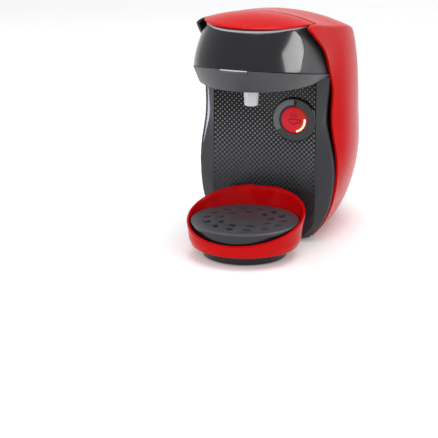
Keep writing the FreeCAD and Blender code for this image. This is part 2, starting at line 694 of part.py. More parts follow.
def make_inlet():
    """Socket under the bay floor that the tank's valve pushes into."""
    z0 = NIPPLE_Z - 4.5
    z1 = BAY_FLOOR_Z - 2.7
    socket = ring(VALVE_X, VALVE_Y, z0, 6.8, SPIGOT_R + RUN, z1 - z0)
    base = rod(VALVE_X, VALVE_Y, z0, 6.8, 2.0)
    pin = rod(VALVE_X, VALVE_Y, z0, 1.2, NIPPLE_Z + 3.6 - z0)
    pipe = rod(VALVE_X + 5.8, VALVE_Y, NIPPLE_Z - 0.5, HOSE_R - 1.0, SUCTION_X0 - VALVE_X - 5.8, "x")
    bore = rod(VALVE_X + 4.0, VALVE_Y, NIPPLE_Z - 0.5, HOSE_BORE, 30, "x")
    save("inlet_socket", fuse([socket, base, pin, pipe]).cut(bore))


# ---------------------------------------------------------------- cup stand
def rim_plane_z(y):
    share = (y - FRONT_Y) / (2 * STAND_R)
    return STAND_RIM_FRONT_Z + share * (STAND_RIM_BACK_Z - STAND_RIM_FRONT_Z)


def almond(length, width, depth):
    half = length / 2
    bulge = width / 2
    upper = Part.Arc(vec(-half, 0, 0), vec(0, bulge, 0), vec(half, 0, 0)).toShape()
    lower = Part.Arc(vec(half, 0, 0), vec(0, -bulge, 0), vec(-half, 0, 0)).toShape()
    return Part.Face(Part.Wire([upper, lower])).extrude(vec(0, 0, depth))


def make_cup_stand():
    bowl = cone(0, STAND_Y, STAND_FLOOR_Z, STAND_BOTTOM_R, STAND_R, STAND_HEIGHT)
    lower = [e for e in bowl.Edges if abs(e.BoundBox.ZMax - STAND_FLOOR_Z) < 0.01]
    bowl = bowl.makeFillet(4.0, lower)
    hollow = cone(0, STAND_Y, STAND_FLOOR_Z + STAND_WALL, STAND_BOTTOM_R - STAND_WALL,
                  STAND_R - STAND_WALL, STAND_HEIGHT)
    above = prism([
        vec(-FAR, FRONT_Y - 50, rim_plane_z(FRONT_Y - 50)), vec(-FAR, FRONT_Y - 50, FAR),
        vec(-FAR, REAR_Y, FAR), vec(-FAR, REAR_Y, rim_plane_z(REAR_Y)),
    ], vec(2 * FAR, 0, 0))
    behind = box(-FAR, FAR, PANEL_Y - 2 * RUN, FAR, 0, FAR)
    bowl = bowl.cut(hollow).cut(above).cut(behind)
    save("cup_stand_bowl", biggest(bowl))

    foot = cone(0, STAND_Y, 1.2, FOOT_R - 2.0, FOOT_R, STAND_FLOOR_Z - 1.4)
    tongue = box(-TONGUE_HALF, TONGUE_HALF, STAND_Y + 20, SHUT_Y - 1.0, TONGUE_Z0, TONGUE_Z1)
    foot = foot.fuse(tongue).removeSplitter()
    save("stand_foot", foot)
    pads = []
    for degrees in (30, 150, 270):
        turn = math.radians(degrees)
        pads.append(rod(34 * math.cos(turn), STAND_Y + 34 * math.sin(turn), 0, 5.5, 1.2))
    save("stand_pads", Part.makeCompound(pads))

    tray_r = STAND_BOTTOM_R - STAND_WALL - 1.0
    floor = STAND_FLOOR_Z + STAND_WALL + RUN
    top = GRATE_Z - GRATE_T - 0.2
    tray = rod(0, STAND_Y, floor, tray_r, top - floor)
    tray = tray.makeFillet(2.5, [e for e in tray.Edges if abs(e.BoundBox.ZMax - floor) < 0.01])
    lip = rod(0, STAND_Y, top - 2.2, tray_r + 1.6, 2.2)
    well = rod(0, STAND_Y, floor + TRAY_WALL, tray_r - TRAY_WALL, top)
    save("drip_tray", tray.fuse(lip).cut(well).removeSplitter())

    grate_r = tray_r + 1.9
    grate = rod(0, STAND_Y, GRATE_Z - GRATE_T, grate_r, GRATE_T)
    grate = grate.makeFillet(0.9, [e for e in grate.Edges if abs(e.BoundBox.ZMin - GRATE_Z) < 0.01])
    locator = ring(0, STAND_Y, GRATE_Z - GRATE_T - 2.4, tray_r - TRAY_WALL - 0.5,
                   tray_r - TRAY_WALL - 2.0, 2.6)
    holes = []
    for radius, count, phase, twist in ((41.0, 14, 8.0, 50.0), (27.5, 9, 20.0, 50.0)):
        for i in range(count):
            degrees = phase + 360.0 * i / count
            hole = almond(12.0, 7.0, 20.0)
            hole.rotate(vec(0, 0, 0), vec(0, 0, 1), twist)
            hole.translate(vec(radius, 0, GRATE_Z - 10.0))
            hole.rotate(vec(0, 0, 0), vec(0, 0, 1), degrees)
            hole.translate(vec(0, STAND_Y, 0))
            holes.append(hole)
    grate = grate.fuse(locator).cut(Part.makeCompound(holes)).removeSplitter()
    save("drip_grate", grate)


# ---------------------------------------------------------------- start button
def ring_sector(radii, y0, depth, start, end):
    """Part of a ring in the front panel's plane, round the button's axis."""
    inner, outer = radii

    def at(radius, degrees):
        turn = math.radians(degrees)
        return vec(BUTTON_X + radius * math.cos(turn), y0, BUTTON_Z + radius * math.sin(turn))

    middle = (start + end) / 2
    outline = Part.Wire([
        Part.Arc(at(outer, start), at(outer, middle), at(outer, end)).toShape(),
        line(at(outer, end), at(inner, end)),
        Part.Arc(at(inner, end), at(inner, middle), at(inner, start)).toShape(),
        line(at(inner, start), at(outer, start)),
    ])
    return Part.Face(outline).extrude(vec(0, depth, 0))


def make_button():
    face = PANEL_Y - BEZEL_PROUD
    flange = rod(BUTTON_X, face, BUTTON_Z, BEZEL_R, BEZEL_PROUD - 0.05, "y")
    flange = flange.makeFillet(1.4, [e for e in flange.Edges if abs(e.BoundBox.YMax - face) < 0.01])
    neck = rod(BUTTON_X, PANEL_Y - 0.05, BUTTON_Z, BEZEL_NECK_R, 3.4, "y")
    bezel = flange.fuse(neck)
    bezel = bezel.cut(rod(BUTTON_X, face - 1, BUTTON_Z, BUTTON_R + RUN, 20, "y"))
    lit_low, lit_high = -75.0, 8.0
    ring_low, ring_high = 90.0, 214.0
    bezel = bezel.cut(ring_sector((CRESCENT_R[0] - 0.05, CRESCENT_R[1] + 0.05), face - 1, 2.4,
                                  ring_low - 0.3, ring_high + 0.3))
    save("button_bezel", biggest(bezel.removeSplitter()))
    save("status_crescent", ring_sector(CRESCENT_R, face - 0.5, 1.8, ring_low, ring_high))

    crown = face - 1.4
    back = PANEL_Y + 1.0
    cap = rod(BUTTON_X, crown, BUTTON_Z, BUTTON_R, back - crown, "y")
    cap = cap.makeFillet(1.2, [e for e in cap.Edges if abs(e.BoundBox.YMax - crown) < 0.01])
    cap = cap.cut(ring_sector((LIGHT_R[0] - 0.05, LIGHT_R[1] + 0.05), crown - 1, 20,
                              lit_low - 0.3, lit_high + 0.3))
    save("light_arc", ring_sector(LIGHT_R, crown + 0.4, back - crown - 0.4, lit_low, lit_high))
    board = SHUT_Y - 4.6
    stem = rod(BUTTON_X, back - 0.5, BUTTON_Z, 3.5, board - 2.4 - BUTTON_TRAVEL - 0.3 - back + 0.5, "y")
    save("start_button", cap.fuse(stem).removeSplitter())
    coil = spring(0, 0, 0, 6.5, 0.45, board - back - 0.2, 4)
    coil.rotate(vec(0, 0, 0), vec(1, 0, 0), -90)
    coil.translate(vec(BUTTON_X, back + 0.1, BUTTON_Z))
    save("button_spring", coil)

    plate = box(BUTTON_X - 21, BUTTON_X + 21, board, board + 1.6, BUTTON_Z - 20, BUTTON_Z + 20)
    switch = box(BUTTON_X - 4, BUTTON_X + 4, board - 2.4, board, BUTTON_Z - 4, BUTTON_Z + 4)
    lamp = box(BUTTON_X + 8, BUTTON_X + 12, board - 1.6, board, BUTTON_Z - 10, BUTTON_Z - 6)
    legs = []
    for x in (BUTTON_X - 18, BUTTON_X + 4):
        for z in (BUTTON_Z - 17, BUTTON_Z + 17):
            legs.append(rod(x, board + 1.6, z, 2.0, CHASSIS_Y - 0.05 - board - 1.6, "y"))
    save("button_board", fuse([plate, switch, lamp] + legs))


# ---------------------------------------------------------------- brew unit
def make_brew_unit():
    deck = CHIN_Z + WALL + 0.2
    seat = BREW_TOP_Z - POD_SEAT_DEPTH
    block = rod(0, NOZZLE_Y, deck, BREW_R, BREW_TOP_Z - deck)
    neck = box(-30, 30, NOZZLE_Y, CHASSIS_Y - 0.2, deck, BREW_TOP_Z - 6.0)
    nipple = rod(OUTLET_X, CHASSIS_Y - 1.0, HOT_HOSE_Z, HOSE_R, 9.0, "y")
    unit = fuse([block, neck, nipple])
    unit = unit.cut(rod(OUTLET_X, CHASSIS_Y - 12.0, HOT_HOSE_Z, HOSE_BORE, 40, "y"))
    unit = unit.cut(rod(0, NOZZLE_Y, seat, POD_SEAT_R, 20))
    unit = unit.cut(rod(0, NOZZLE_Y, 0, PIERCER_R + 0.1, FAR))
    window = (-8.0, 8.0, NOZZLE_Y - 22.0, NOZZLE_Y - 14.0)
    unit = unit.cut(box(window[0] - 0.15, window[1] + 0.15, window[2] - 0.15, window[3] + 0.15,
                        seat - 2.0, seat + 5))
    save("brew_unit", unit)
    save("reader_window", box(window[0], window[1], window[2], window[3], seat - 1.9, seat - 0.4))
    holder = ring(0, NOZZLE_Y, seat + 0.2, POD_SEAT_R - RUN, 24.0, POD_SEAT_DEPTH)
    flange = ring(0, NOZZLE_Y, BREW_TOP_Z + 0.2, POD_SEAT_R + 3.0, 24.0, 1.8)
    tab = box(-7, 7, NOZZLE_Y - POD_SEAT_R - 9.0, NOZZLE_Y - POD_SEAT_R, BREW_TOP_Z + 0.2,
              BREW_TOP_Z + 2.0)
    save("pod_holder", fuse([holder, flange, tab]))
    low = CHIN_Z - 0.4
    spike = rod(0, NOZZLE_Y, low, PIERCER_R, seat - low)
    tip = cone(0, NOZZLE_Y, seat, 2.4, 0.5, 6.5)
    spike = spike.fuse(tip).cut(rod(0, NOZZLE_Y, low - 1, 1.6, seat - low - 3.0))
    for turn in range(6):
        angle = math.radians(60 * turn)
        spike = spike.cut(rod(6.5 * math.cos(angle), NOZZLE_Y + 6.5 * math.sin(angle),
                              seat - 3.0, 1.3, 10))
    save("piercing_unit", spike.removeSplitter())
    top = low - 0.1
    flange = rod(0, NOZZLE_Y, top - 2.4, PIERCER_R - 0.6, 2.4)
    spout = cone(0, NOZZLE_Y, NOZZLE_TIP_Z, NOZZLE_R - 0.9, NOZZLE_R, top - 2.4 - NOZZLE_TIP_Z)
    bore = cone(0, NOZZLE_Y, NOZZLE_TIP_Z - 1, NOZZLE_R - 3.4, NOZZLE_R - 2.4, top - NOZZLE_TIP_Z + 2)
    save("drink_nozzle", flange.fuse(spout).cut(bore).removeSplitter())


# ---------------------------------------------------------------- chassis and works
def make_base():
    slab = box(-FAR, FAR, SHUT_Y, FAR, BASE_Z0, BASE_Z1).common(body_form(WALL + 0.3))
    nose = box(-FAR, FAR, -FAR, SHUT_Y, BASE_Z0, BASE_Z1).common(strip_form(WALL + 0.3))
    post = rod(METER_X, VALVE_Y, BASE_Z1 - 1, 5.0, METER_Z0 - 0.1 - BASE_Z1 + 1)
    base = fuse([biggest(slab), biggest(nose), post])
    for x, y in BASE_SCREWS:
        base = base.cut(rod(x, y, 0, M3_R + 0.2, 20)).cut(rod(x, y, 0, M3_HEAD_R + 0.3, BASE_Z0 + 1.6))
    base = base.cut(Part.makeCompound([rod(x, y, 0, FOOT_PIN_R + 0.05, 20) for x, y in FEET]))
    save("base_plate", base)
    feet = []
    for x, y in FEET:
        foot = cone(x, y, 0, 7.0, 8.0, BASE_Z0)
        feet.append(foot.fuse(rod(x, y, BASE_Z0 - 1, FOOT_PIN_R, 1.0 + BASE_Z1 - BASE_Z0)))
    save("rubber_feet", Part.makeCompound([foot.removeSplitter() for foot in feet]))
    screws = []
    for x, y in BASE_SCREWS:
        head = rod(x, y, BASE_Z0 + 0.1, M3_HEAD_R, 1.5)
        head = head.cut(rod(x, y, BASE_Z0, 1.1, 0.9))
        screws.append(head.fuse(rod(x, y, BASE_Z0 + 1.6, M3_R, 9.4)).removeSplitter())
    save("base_screws", Part.makeCompound(screws))


BASE_SCREWS = [
    (-30.0, SHUT_Y + 10.0), (30.0, SHUT_Y + 10.0),
    (PUMP_X[0] + 22.0, VALVE_Y + CRADLE_Y), (PUMP_X[0] + 30.0, VALVE_Y - CRADLE_Y),
]


def make_chassis():
    y0 = CHASSIS_Y
    y1 = CHASSIS_Y + CHASSIS_T
    wall = box(-CHASSIS_HALF, CHASSIS_HALF, y0, y1, BASE_Z1 + 0.1, CHASSIS_TOP_Z)
    foot = box(-CHASSIS_HALF, CHASSIS_HALF, y0, y0 + CHASSIS_FOOT, BASE_Z1 + 0.1, BASE_Z1 + 3.1)
    shapes = [wall, foot]
    for x0 in (-CHASSIS_HALF, CHASSIS_HALF - 3.0):
        shapes.append(box(x0, x0 + 3.0, HINGE_Y - 7.0, y1, CHASSIS_TOP_Z - 18.0, HINGE_Z + 6.0))
        shapes.append(box(x0, x0 + 3.0, y0, y0 + CHASSIS_FOOT, BASE_Z1 + 0.1, BASE_Z1 + 40.0))
    frame = fuse(shapes)
    frame = frame.cut(rod(-60, HINGE_Y, HINGE_Z, HINGE_PIN_R + 0.02, 120, "x"))
    frame = frame.cut(rod(OUTLET_X, y0 - 5, HOT_HOSE_Z, HOSE_R + 1.0, 20, "y"))
    for x, y in BASE_SCREWS[:2]:
        frame = frame.cut(rod(x, y, 0, M3_R + 0.02, BASE_Z1 + 8))
    windows = [box(-26, 0, y0 - 1, y1 + 1, z, z + 28) for z in (32, 78, 124)]
    save("chassis", frame.cut(Part.makeCompound(windows)))


def bent_hose(start, corner, end, bend):
    """Hose with one rounded corner between two straight runs."""
    back = (start - corner).normalize()
    ahead = (end - corner).normalize()
    p0 = corner + back * bend
    p1 = corner + ahead * bend
    middle = corner + (back + ahead) * (bend * (1 - math.sqrt(0.5)))
    path = Part.Wire([line(start, p0), Part.Arc(p0, middle, p1).toShape(), line(p1, end)])

    def swept(radius):
        circle = Part.Circle(start, (corner - start).normalize(), radius).toShape()
        return path.makePipeShell([Part.Wire([circle])], True, False)

    return swept(HOSE_R).cut(swept(HOSE_BORE))


def straight_hose(start, axis, length):
    return ring(start.x, start.y, start.z, HOSE_R, HOSE_BORE, length, axis)


def make_works():
    y = VALVE_Y
    coil_x = PUMP_X[0] + 24.0
    # flow meter between the tank and the pump
    top = METER_Z0 + 16.0
    meter = rod(METER_X, y, METER_Z0, METER_R, 16.0)
    meter = meter.makeFillet(1.5, [e for e in meter.Edges if abs(e.BoundBox.ZMin - top) < 0.01])
    inlet = rod(SUCTION_X1, y, NIPPLE_Z - 0.5, HOSE_R - 1.0, METER_X - SUCTION_X1 - 6, "x")
    outlet = rod(METER_X, y, top - 1.0, HOSE_R - 1.0, 5.0)
    save("flow_meter", fuse([meter, inlet, outlet]))
    save("suction_hose", straight_hose(vec(SUCTION_X0, y, NIPPLE_Z - 0.5), "x",
                                       SUCTION_X1 - SUCTION_X0))
    save("pump_hose", bent_hose(vec(METER_X, y, top + 4.0), vec(METER_X, y, PUMP_Z),
                                vec(PUMP_X[0] - 4.0, y, PUMP_Z), 8.0))

    barrel = rod(PUMP_X[0], y, PUMP_Z, PUMP_R, PUMP_X[1] - PUMP_X[0], "x")
    coil = rounded_box(coil_x - 11, coil_x + 11, y - 20, y + 20, PUMP_Z - 20, PUMP_Z + 20, 3.0)
    nose = rod(PUMP_X[0] - 4.0, y, PUMP_Z, HOSE_R, 6.0, "x")
    riser = rod(PUMP_OUT_X, y, PUMP_Z + PUMP_R - 3.0, HOSE_R, PUMP_OUT_Z - PUMP_Z - PUMP_R + 3.0)
    save("pump", fuse([barrel, coil, nose, riser]))
    rings = []
    cradle = [box(PUMP_X[0] + 2.0, PUMP_X[1] - 6.0, y - 28, y + 28, BASE_Z1 + 0.1, BASE_Z1 + 3.1)]
    for x in (PUMP_X[0] + 4.0, PUMP_X[1] - 15.5):
        rings.append(ring(x, y, PUMP_Z, PUMP_R + 3.0, PUMP_R + 0.05, 6.5, "x"))
        saddle = box(x + 0.5, x + 6.0, y - 22, y + 22, BASE_Z1 + 1.0, PUMP_Z)
        cradle.append(saddle.cut(rod(x - 1, y, PUMP_Z, PUMP_R + 3.05, 12, "x")))
    save("pump_mounts", Part.makeCompound(rings))
    cradle = fuse(cradle)
    for sx, sy in BASE_SCREWS[2:]:
        cradle = cradle.cut(rod(sx, sy, 0, M3_R + 0.02, BASE_Z1 + 12))
    save("pump_cradle", cradle)

    inlet_z = HEATER_Z[0] - 4.0
    save("pressure_hose", straight_hose(vec(PUMP_OUT_X, y, PUMP_OUT_Z), "z", inlet_z - PUMP_OUT_Z))
    heater = rounded_box(HEATER_X[0], HEATER_X[1], y - HEATER_HALF_Y, y + HEATER_HALF_Y,
                         HEATER_Z[0], HEATER_Z[1], 8.0)
    inlet = rod(PUMP_OUT_X, y, inlet_z, HOSE_R, 6.0)
    outlet = rod(OUTLET_X, y, HEATER_Z[1] - 2.0, HOSE_R, 5.0)
    save("water_heater", fuse([heater, inlet, outlet]))
    fuse_z = (HEATER_Z[0] + HEATER_Z[1]) / 2
    save("thermal_cutout", rod(HEATER_X[0] + 26, y + HEATER_HALF_Y + 0.05, fuse_z, 6.0, 6.0, "y"))
    save("hot_water_hose", bent_hose(
        vec(OUTLET_X, y, HEATER_Z[1] + 3.0), vec(OUTLET_X, y, HOT_HOSE_Z),
        vec(OUTLET_X, CHASSIS_Y + 8.0, HOT_HOSE_Z), 9.0))
    near = CHASSIS_Y + CHASSIS_T + 0.05
    far = y - HEATER_HALF_Y - 0.05
    pads = [box(24, 44, near, near + 3, 112, 160), box(24, 44, far - 3, far, 112, 160)]
    webs = [box(24, 44, near, far, z, z + 3) for z in (114, 155)]
    save("heater_bracket", fuse(pads + webs))

    board_x = -BAY_X + BAY_WALL + 6.0
    board = box(board_x, board_x + 1.6, 8, 82, 92, 178)
    chips = [
        box(board_x + 1.6, board_x + 17, 14, 34, 100, 122),
        box(board_x + 1.6, board_x + 19, 52, 76, 98, 126),
        box(board_x + 1.6, board_x + 5, 30, 46, 134, 150),
        rod(board_x + 1.6, 66, 146, 6.5, 22, "x"),
        rod(board_x + 1.6, 22, 160, 5.0, 15, "x"),
    ]
    posts = []
    for by in (13, 77):
        for bz in (96, 174):
            posts.append(rod(board_x - 5.95, by, bz, 2.5, 5.95, "x"))
    save("control_board", fuse([board] + chips))
    save("board_standoffs", Part.makeCompound(posts))


def make_bush():
    """Rubber bush in the back wall where the mains lead would enter."""
    outside_y = back_at(BUSH_Z)
    neck = ring(0, outside_y - WALL - 5.0, BUSH_Z, BUSH_R, BUSH_BORE, WALL + 8.0, "y")
    collar = ring(0, outside_y - 4.0, BUSH_Z, BUSH_R + 2.5, BUSH_BORE, 8.6, "y")
    save("inlet_bush", neck.fuse(collar.cut(body_form(-0.1))).removeSplitter())


SHELL = make_covers()
make_tank_bay(SHELL)
make_front()
make_head()
make_lid()
make_brew_unit()
make_button()
make_tank()
make_inlet()
make_cup_stand()
make_base()
make_chassis()
make_works()
make_bush()
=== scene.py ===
# %% [markdown]
# # A pod coffee machine, surface by surface
# The frame folder gives every piece as a plain CAD solid, in metres, with +Z up and the
# user at -Y. Here the machine gets its looks: large covers are worked out again as smooth
# numpy surfaces, small mouldings keep their CAD shape with welded corners and soft edges,
# and every finish is a node material.

# %% Load the fixed frame
import json
import math

import bmesh
import bpy
import numpy as np
from mathutils import Matrix, Vector

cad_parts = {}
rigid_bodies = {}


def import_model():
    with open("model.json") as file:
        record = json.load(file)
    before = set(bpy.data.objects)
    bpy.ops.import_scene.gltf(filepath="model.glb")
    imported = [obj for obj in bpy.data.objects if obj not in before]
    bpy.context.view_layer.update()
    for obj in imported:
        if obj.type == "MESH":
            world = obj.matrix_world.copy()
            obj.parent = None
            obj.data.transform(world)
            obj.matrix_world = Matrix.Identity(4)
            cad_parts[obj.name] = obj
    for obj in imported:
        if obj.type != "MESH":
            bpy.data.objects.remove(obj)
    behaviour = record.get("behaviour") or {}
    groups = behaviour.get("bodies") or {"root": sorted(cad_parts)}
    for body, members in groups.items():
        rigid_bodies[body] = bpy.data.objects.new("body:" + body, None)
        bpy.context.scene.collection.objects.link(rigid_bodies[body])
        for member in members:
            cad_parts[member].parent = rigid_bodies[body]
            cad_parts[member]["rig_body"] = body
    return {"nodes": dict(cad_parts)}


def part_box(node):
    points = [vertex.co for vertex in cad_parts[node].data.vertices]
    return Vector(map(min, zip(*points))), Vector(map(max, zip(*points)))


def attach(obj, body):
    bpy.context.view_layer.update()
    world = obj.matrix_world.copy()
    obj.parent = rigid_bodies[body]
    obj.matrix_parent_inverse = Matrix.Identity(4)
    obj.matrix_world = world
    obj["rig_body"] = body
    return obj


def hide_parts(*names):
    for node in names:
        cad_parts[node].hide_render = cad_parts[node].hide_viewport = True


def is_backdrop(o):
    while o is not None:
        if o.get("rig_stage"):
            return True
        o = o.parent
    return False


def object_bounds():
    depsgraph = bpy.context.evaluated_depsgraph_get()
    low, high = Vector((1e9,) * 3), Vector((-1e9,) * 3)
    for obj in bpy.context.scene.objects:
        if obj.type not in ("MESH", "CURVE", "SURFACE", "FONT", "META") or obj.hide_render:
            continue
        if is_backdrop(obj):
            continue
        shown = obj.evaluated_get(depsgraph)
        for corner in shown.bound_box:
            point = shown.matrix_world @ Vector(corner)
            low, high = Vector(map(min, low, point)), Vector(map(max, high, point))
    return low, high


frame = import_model()
CAD_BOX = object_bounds()
CAD = frame["nodes"]

# %% [markdown]
# ## The machine's main sizes
# All lengths are in millimetres and become metres only when a mesh is made. They are the
# sizes that the CAD part is driven by, so the surfaces lie where the CAD solids lie.

# %% Main sizes
HEIGHT, WIDTH, DEPTH = 255.0, 168.0, 305.0
WALL, SKIN, GAP, LID_GAP = 2.6, 2.2, 0.4, 1.1
FRONT_Y, REAR_Y = -DEPTH / 2, DEPTH / 2
STAND_R, STAND_BOTTOM_R, STAND_FLOOR_Z = 63.0, 59.5, 11.0
RIM_FRONT_Z, RIM_BACK_Z = 25.0, 60.0
STAND_CLEAR, COVER_FOOT_Z = 0.8, 3.0
SPREAD = (STAND_R - STAND_BOTTOM_R) / (RIM_BACK_Z + 6.0 - STAND_FLOOR_Z)
STAND_Y = FRONT_Y + STAND_BOTTOM_R + SPREAD * (RIM_FRONT_Z - STAND_FLOOR_Z)
PANEL_Y = STAND_Y + STAND_R + STAND_CLEAR
STRIP_Y = PANEL_Y + 8.0
SHUT_Y = STRIP_Y + 7.0
WIDEST_Y = STRIP_Y + 46.0
REAR_COVER_Y = REAR_Y - 40.0
HEAD_TIP_Y = PANEL_Y - 107.3
LEAF_Y = HEAD_TIP_Y + 93.0
NOZZLE_Y = PANEL_Y - 46.0
CHIN_Z, CREASE_Z, CREASE_SLOPE = 183.0, 209.0, 0.20
BUTTON_X, BUTTON_Z, ARC_R = 34.0, 135.5, 12.3
print("panel face at y =", round(PANEL_Y, 1), "stand axis at y =", round(STAND_Y, 1))

# %% [markdown]
# ## Smooth curves through a few points
# A moulded cover is drawn by a few sections, joined so that slope and bend run on without
# a break. A cubic spline does that: the slopes at its knots are the unknowns, and equal
# bending on both sides of every knot gives one small set of linear equations.


# %% A cubic spline on whole arrays
def spline(knots, values, at, start=None, end=None):
    """Curve with continuous slope and bend through values at the knots. Between two
    knots: value = h00*a + h10*step*slope_a + h01*b + h11*step*slope_b (Hermite form).
    Free ends have no bend; start and end give a slope instead."""
    knots = np.asarray(knots, float)
    values = np.asarray(values, float)
    flat = values.reshape(len(knots), -1)
    step = np.diff(knots)[:, None]
    rise = np.diff(flat, axis=0) / step
    size = len(knots)
    matrix = np.zeros((size, size))
    right = np.zeros_like(flat)
    i = np.arange(1, size - 1)
    matrix[i, i - 1] = 1 / step[:-1, 0]
    matrix[i, i] = 2 / step[:-1, 0] + 2 / step[1:, 0]
    matrix[i, i + 1] = 1 / step[1:, 0]
    right[1:-1] = 3 * (rise[:-1] / step[:-1] + rise[1:] / step[1:])
    for row, near, slope, first in ((0, 1, start, rise[0]), (-1, -2, end, rise[-1])):
        matrix[row, row] = 1 if slope is not None else 2
        matrix[row, near] = 0 if slope is not None else 1
        right[row] = slope if slope is not None else 3 * first
    slopes = np.linalg.solve(matrix, right)
    at = np.asarray(at, float)
    j = np.clip(np.searchsorted(knots, at, side="right") - 1, 0, size - 2)
    h = step[j]
    t = ((at - knots[j]) / h[:, 0])[:, None]
    out = ((1 + 2 * t) * (1 - t) ** 2 * flat[j] + t * (1 - t) ** 2 * h * slopes[j]
           + t * t * (3 - 2 * t) * flat[j + 1] + t * t * (t - 1) * h * slopes[j + 1])
    return out.reshape(at.shape + values.shape[1:])


def chords(points):
    """Distance travelled along a row of points, which spaces a spline's knots."""
    steps = np.linalg.norm(np.diff(points, axis=0), axis=1)
    return np.concatenate([[0.0], np.cumsum(steps)])


# %% [markdown]
# ## The body as two functions
# The body is a tulip: narrow at the floor, widest a third of the way up, waisted beside
# the cup and full again at the brew head. Every cover is a cut-out of this form, which is
# worked out once: the half width at a place (y, z) on the flank, and the height of the
# crowned top at a place (x, y).

# %% Flank and crown
BODY = np.array([
    (0.000, 0.548, 0.560, 27.0), (0.031, 0.643, 0.655, 20.0), (0.078, 0.750, 0.762, 13.0),
    (0.141, 0.833, 0.857, 8.0), (0.235, 0.887, 0.946, 2.5), (0.329, 0.889, 0.994, 0.0),
    (0.408, 0.849, 1.000, 0.0), (0.490, 0.792, 0.988, 0.0), (0.573, 0.780, 0.980, 0.8),
    (0.667, 0.810, 0.970, 3.5), (0.765, 0.838, 0.946, 9.0), (0.843, 0.842, 0.912, 18.0),
    (0.922, 0.798, 0.845, 32.0), (1.030, 0.700, 0.745, 54.0),
])
TABLE_STEP = 0.5
TABLE_Y = np.arange(-76.0, 120.0, TABLE_STEP)
TABLE_Z = np.arange(0.0, 262.0, TABLE_STEP)


def plan_half_width(strip, wide, back):
    """Half width along y of one level section: a nearly straight side, a flare behind
    the strip, and an ellipse round the back, joined by one spline."""
    strip = strip + 2.0
    reach = back - WIDEST_Y
    turn = np.radians([0, 24, 48, 70, 90])
    side = [(strip - 6.5, HEAD_TIP_Y + 45.0), (strip, STRIP_Y),
            (strip + 0.74 * (wide - strip), STRIP_Y + 21.0)]
    round_back = np.stack([wide * np.cos(turn), WIDEST_Y + reach * np.sin(turn)], 1)
    points = np.concatenate([side, round_back])
    travel = chords(points)
    curve = spline(travel, points, np.linspace(0, travel[-1], 1600), (0.119, 0.993), (-1, 0))
    return np.interp(TABLE_Y, curve[:, 1], curve[:, 0])


levels = [plan_half_width(s * WIDTH / 2, w * WIDTH / 2, REAR_Y - b) for _, s, w, b in BODY]
FLANK = spline(BODY[:, 0] * HEIGHT, np.array(levels), TABLE_Z)


def flank(y, z):
    """Half width of the body at (y, z), read from the table in between its four
    nearest entries."""
    v = np.clip((np.asarray(z) - TABLE_Z[0]) / TABLE_STEP, 0, len(TABLE_Z) - 1.001)
    u = np.clip((np.asarray(y) - TABLE_Y[0]) / TABLE_STEP, 0, len(TABLE_Y) - 1.001)
    i, j = v.astype(int), u.astype(int)
    fv, fu = v - i, u - j
    low = FLANK[i, j] * (1 - fu) + FLANK[i, j + 1] * fu
    high = FLANK[i + 1, j] * (1 - fu) + FLANK[i + 1, j + 1] * fu
    return low * (1 - fv) + high * fv


TOP = np.array([
    (FRONT_Y - 10.0, 16.5), (HEAD_TIP_Y, 10.5), (HEAD_TIP_Y + 22.0, 6.8),
    (HEAD_TIP_Y + 44.0, 2.6), (HEAD_TIP_Y + 70.0, 0.0), (HEAD_TIP_Y + 92.0, 0.9),
    (SHUT_Y - 10.0, 3.8), (SHUT_Y + 13.0, 7.0), (SHUT_Y + 43.0, 11.0),
    (SHUT_Y + 73.0, 18.5), (REAR_Y - 62.0, 31.5), (REAR_Y - 32.0, 53.0),
    (REAR_Y - 12.0, 82.0), (REAR_Y + 8.0, 125.0),
])
TOP_Y = np.linspace(TOP[0, 0], TOP[-1, 0], 3000)
TOP_FALL = spline(TOP[:, 0], TOP[:, 1], TOP_Y)
CROWN_HALF = WIDTH / 2 + 12.0
CROWN_SAG = 0.0029 * CROWN_HALF ** 2
CROWN_R = (CROWN_HALF ** 2 + CROWN_SAG ** 2) / (2 * CROWN_SAG)


def crown(x, y):
    """Height of the top: HEIGHT, less the fall along y, less a circular arc across."""
    across = CROWN_R - np.sqrt(CROWN_R ** 2 - np.asarray(x) ** 2)
    return HEIGHT - np.interp(y, TOP_Y, TOP_FALL) - across


def solve(wanted, low, high):
    """Bisection on whole arrays: where wanted(t) changes from above 0 to below."""
    low, high = low + 0.0, high + 0.0
    for _ in range(40):
        middle = (low + high) / 2
        above = wanted(middle) > 0
        low, high = np.where(above, middle, low), np.where(above, high, middle)
    return (low + high) / 2


def rim_height(y):
    """Height of the edge where the flank meets the crowned top."""
    y = np.asarray(y, float)
    return solve(lambda z: crown(flank(y, z), y) - z, np.full(y.shape, 120.0),
                 np.full(y.shape, 260.0))


print("widest", round(2 * float(FLANK.max()), 1), "mm; rim over the head",
      round(float(rim_height([-40.0])[0]), 1), "mm up")

# %% [markdown]
# ## The shut line
# Seen from the side, the red cover ends in an S: straight up beside the front frame,
# then forwards over the brew head. It is one row of points from the floor to above the
# top.

# %% Shut line from the floor to the top
bend = [(0.0, -23.0), (-6.0, -1.0), (-14.0, 14.0), (-31.0, 36.0), (-50.0, 53.0),
        (-63.0, 71.0), (-68.0, HEIGHT + 8.0 - CHIN_Z)]
bend = np.array(bend) + (SHUT_Y + GAP, CHIN_Z)
travel = chords(bend)
bend = spline(travel, bend, np.linspace(0, travel[-1], 400), (0, 1), (-0.447, 0.894))
SHUT_LINE = np.concatenate([[(SHUT_Y + GAP, COVER_FOOT_Z)], bend])


def along(line, shares):
    """Points at the given shares of a line's length."""
    travel = chords(line)
    place = np.asarray(shares) * travel[-1]
    return np.stack([np.interp(place, travel, line[:, k]) for k in range(line.shape[1])], 1)


over = SHUT_LINE[:, 1] > rim_height(SHUT_LINE[:, 0])
SHUT_RIM = SHUT_LINE[: np.argmax(over) + 1]
print("shut line meets the top edge at y =", round(float(SHUT_RIM[-1, 0]), 1))

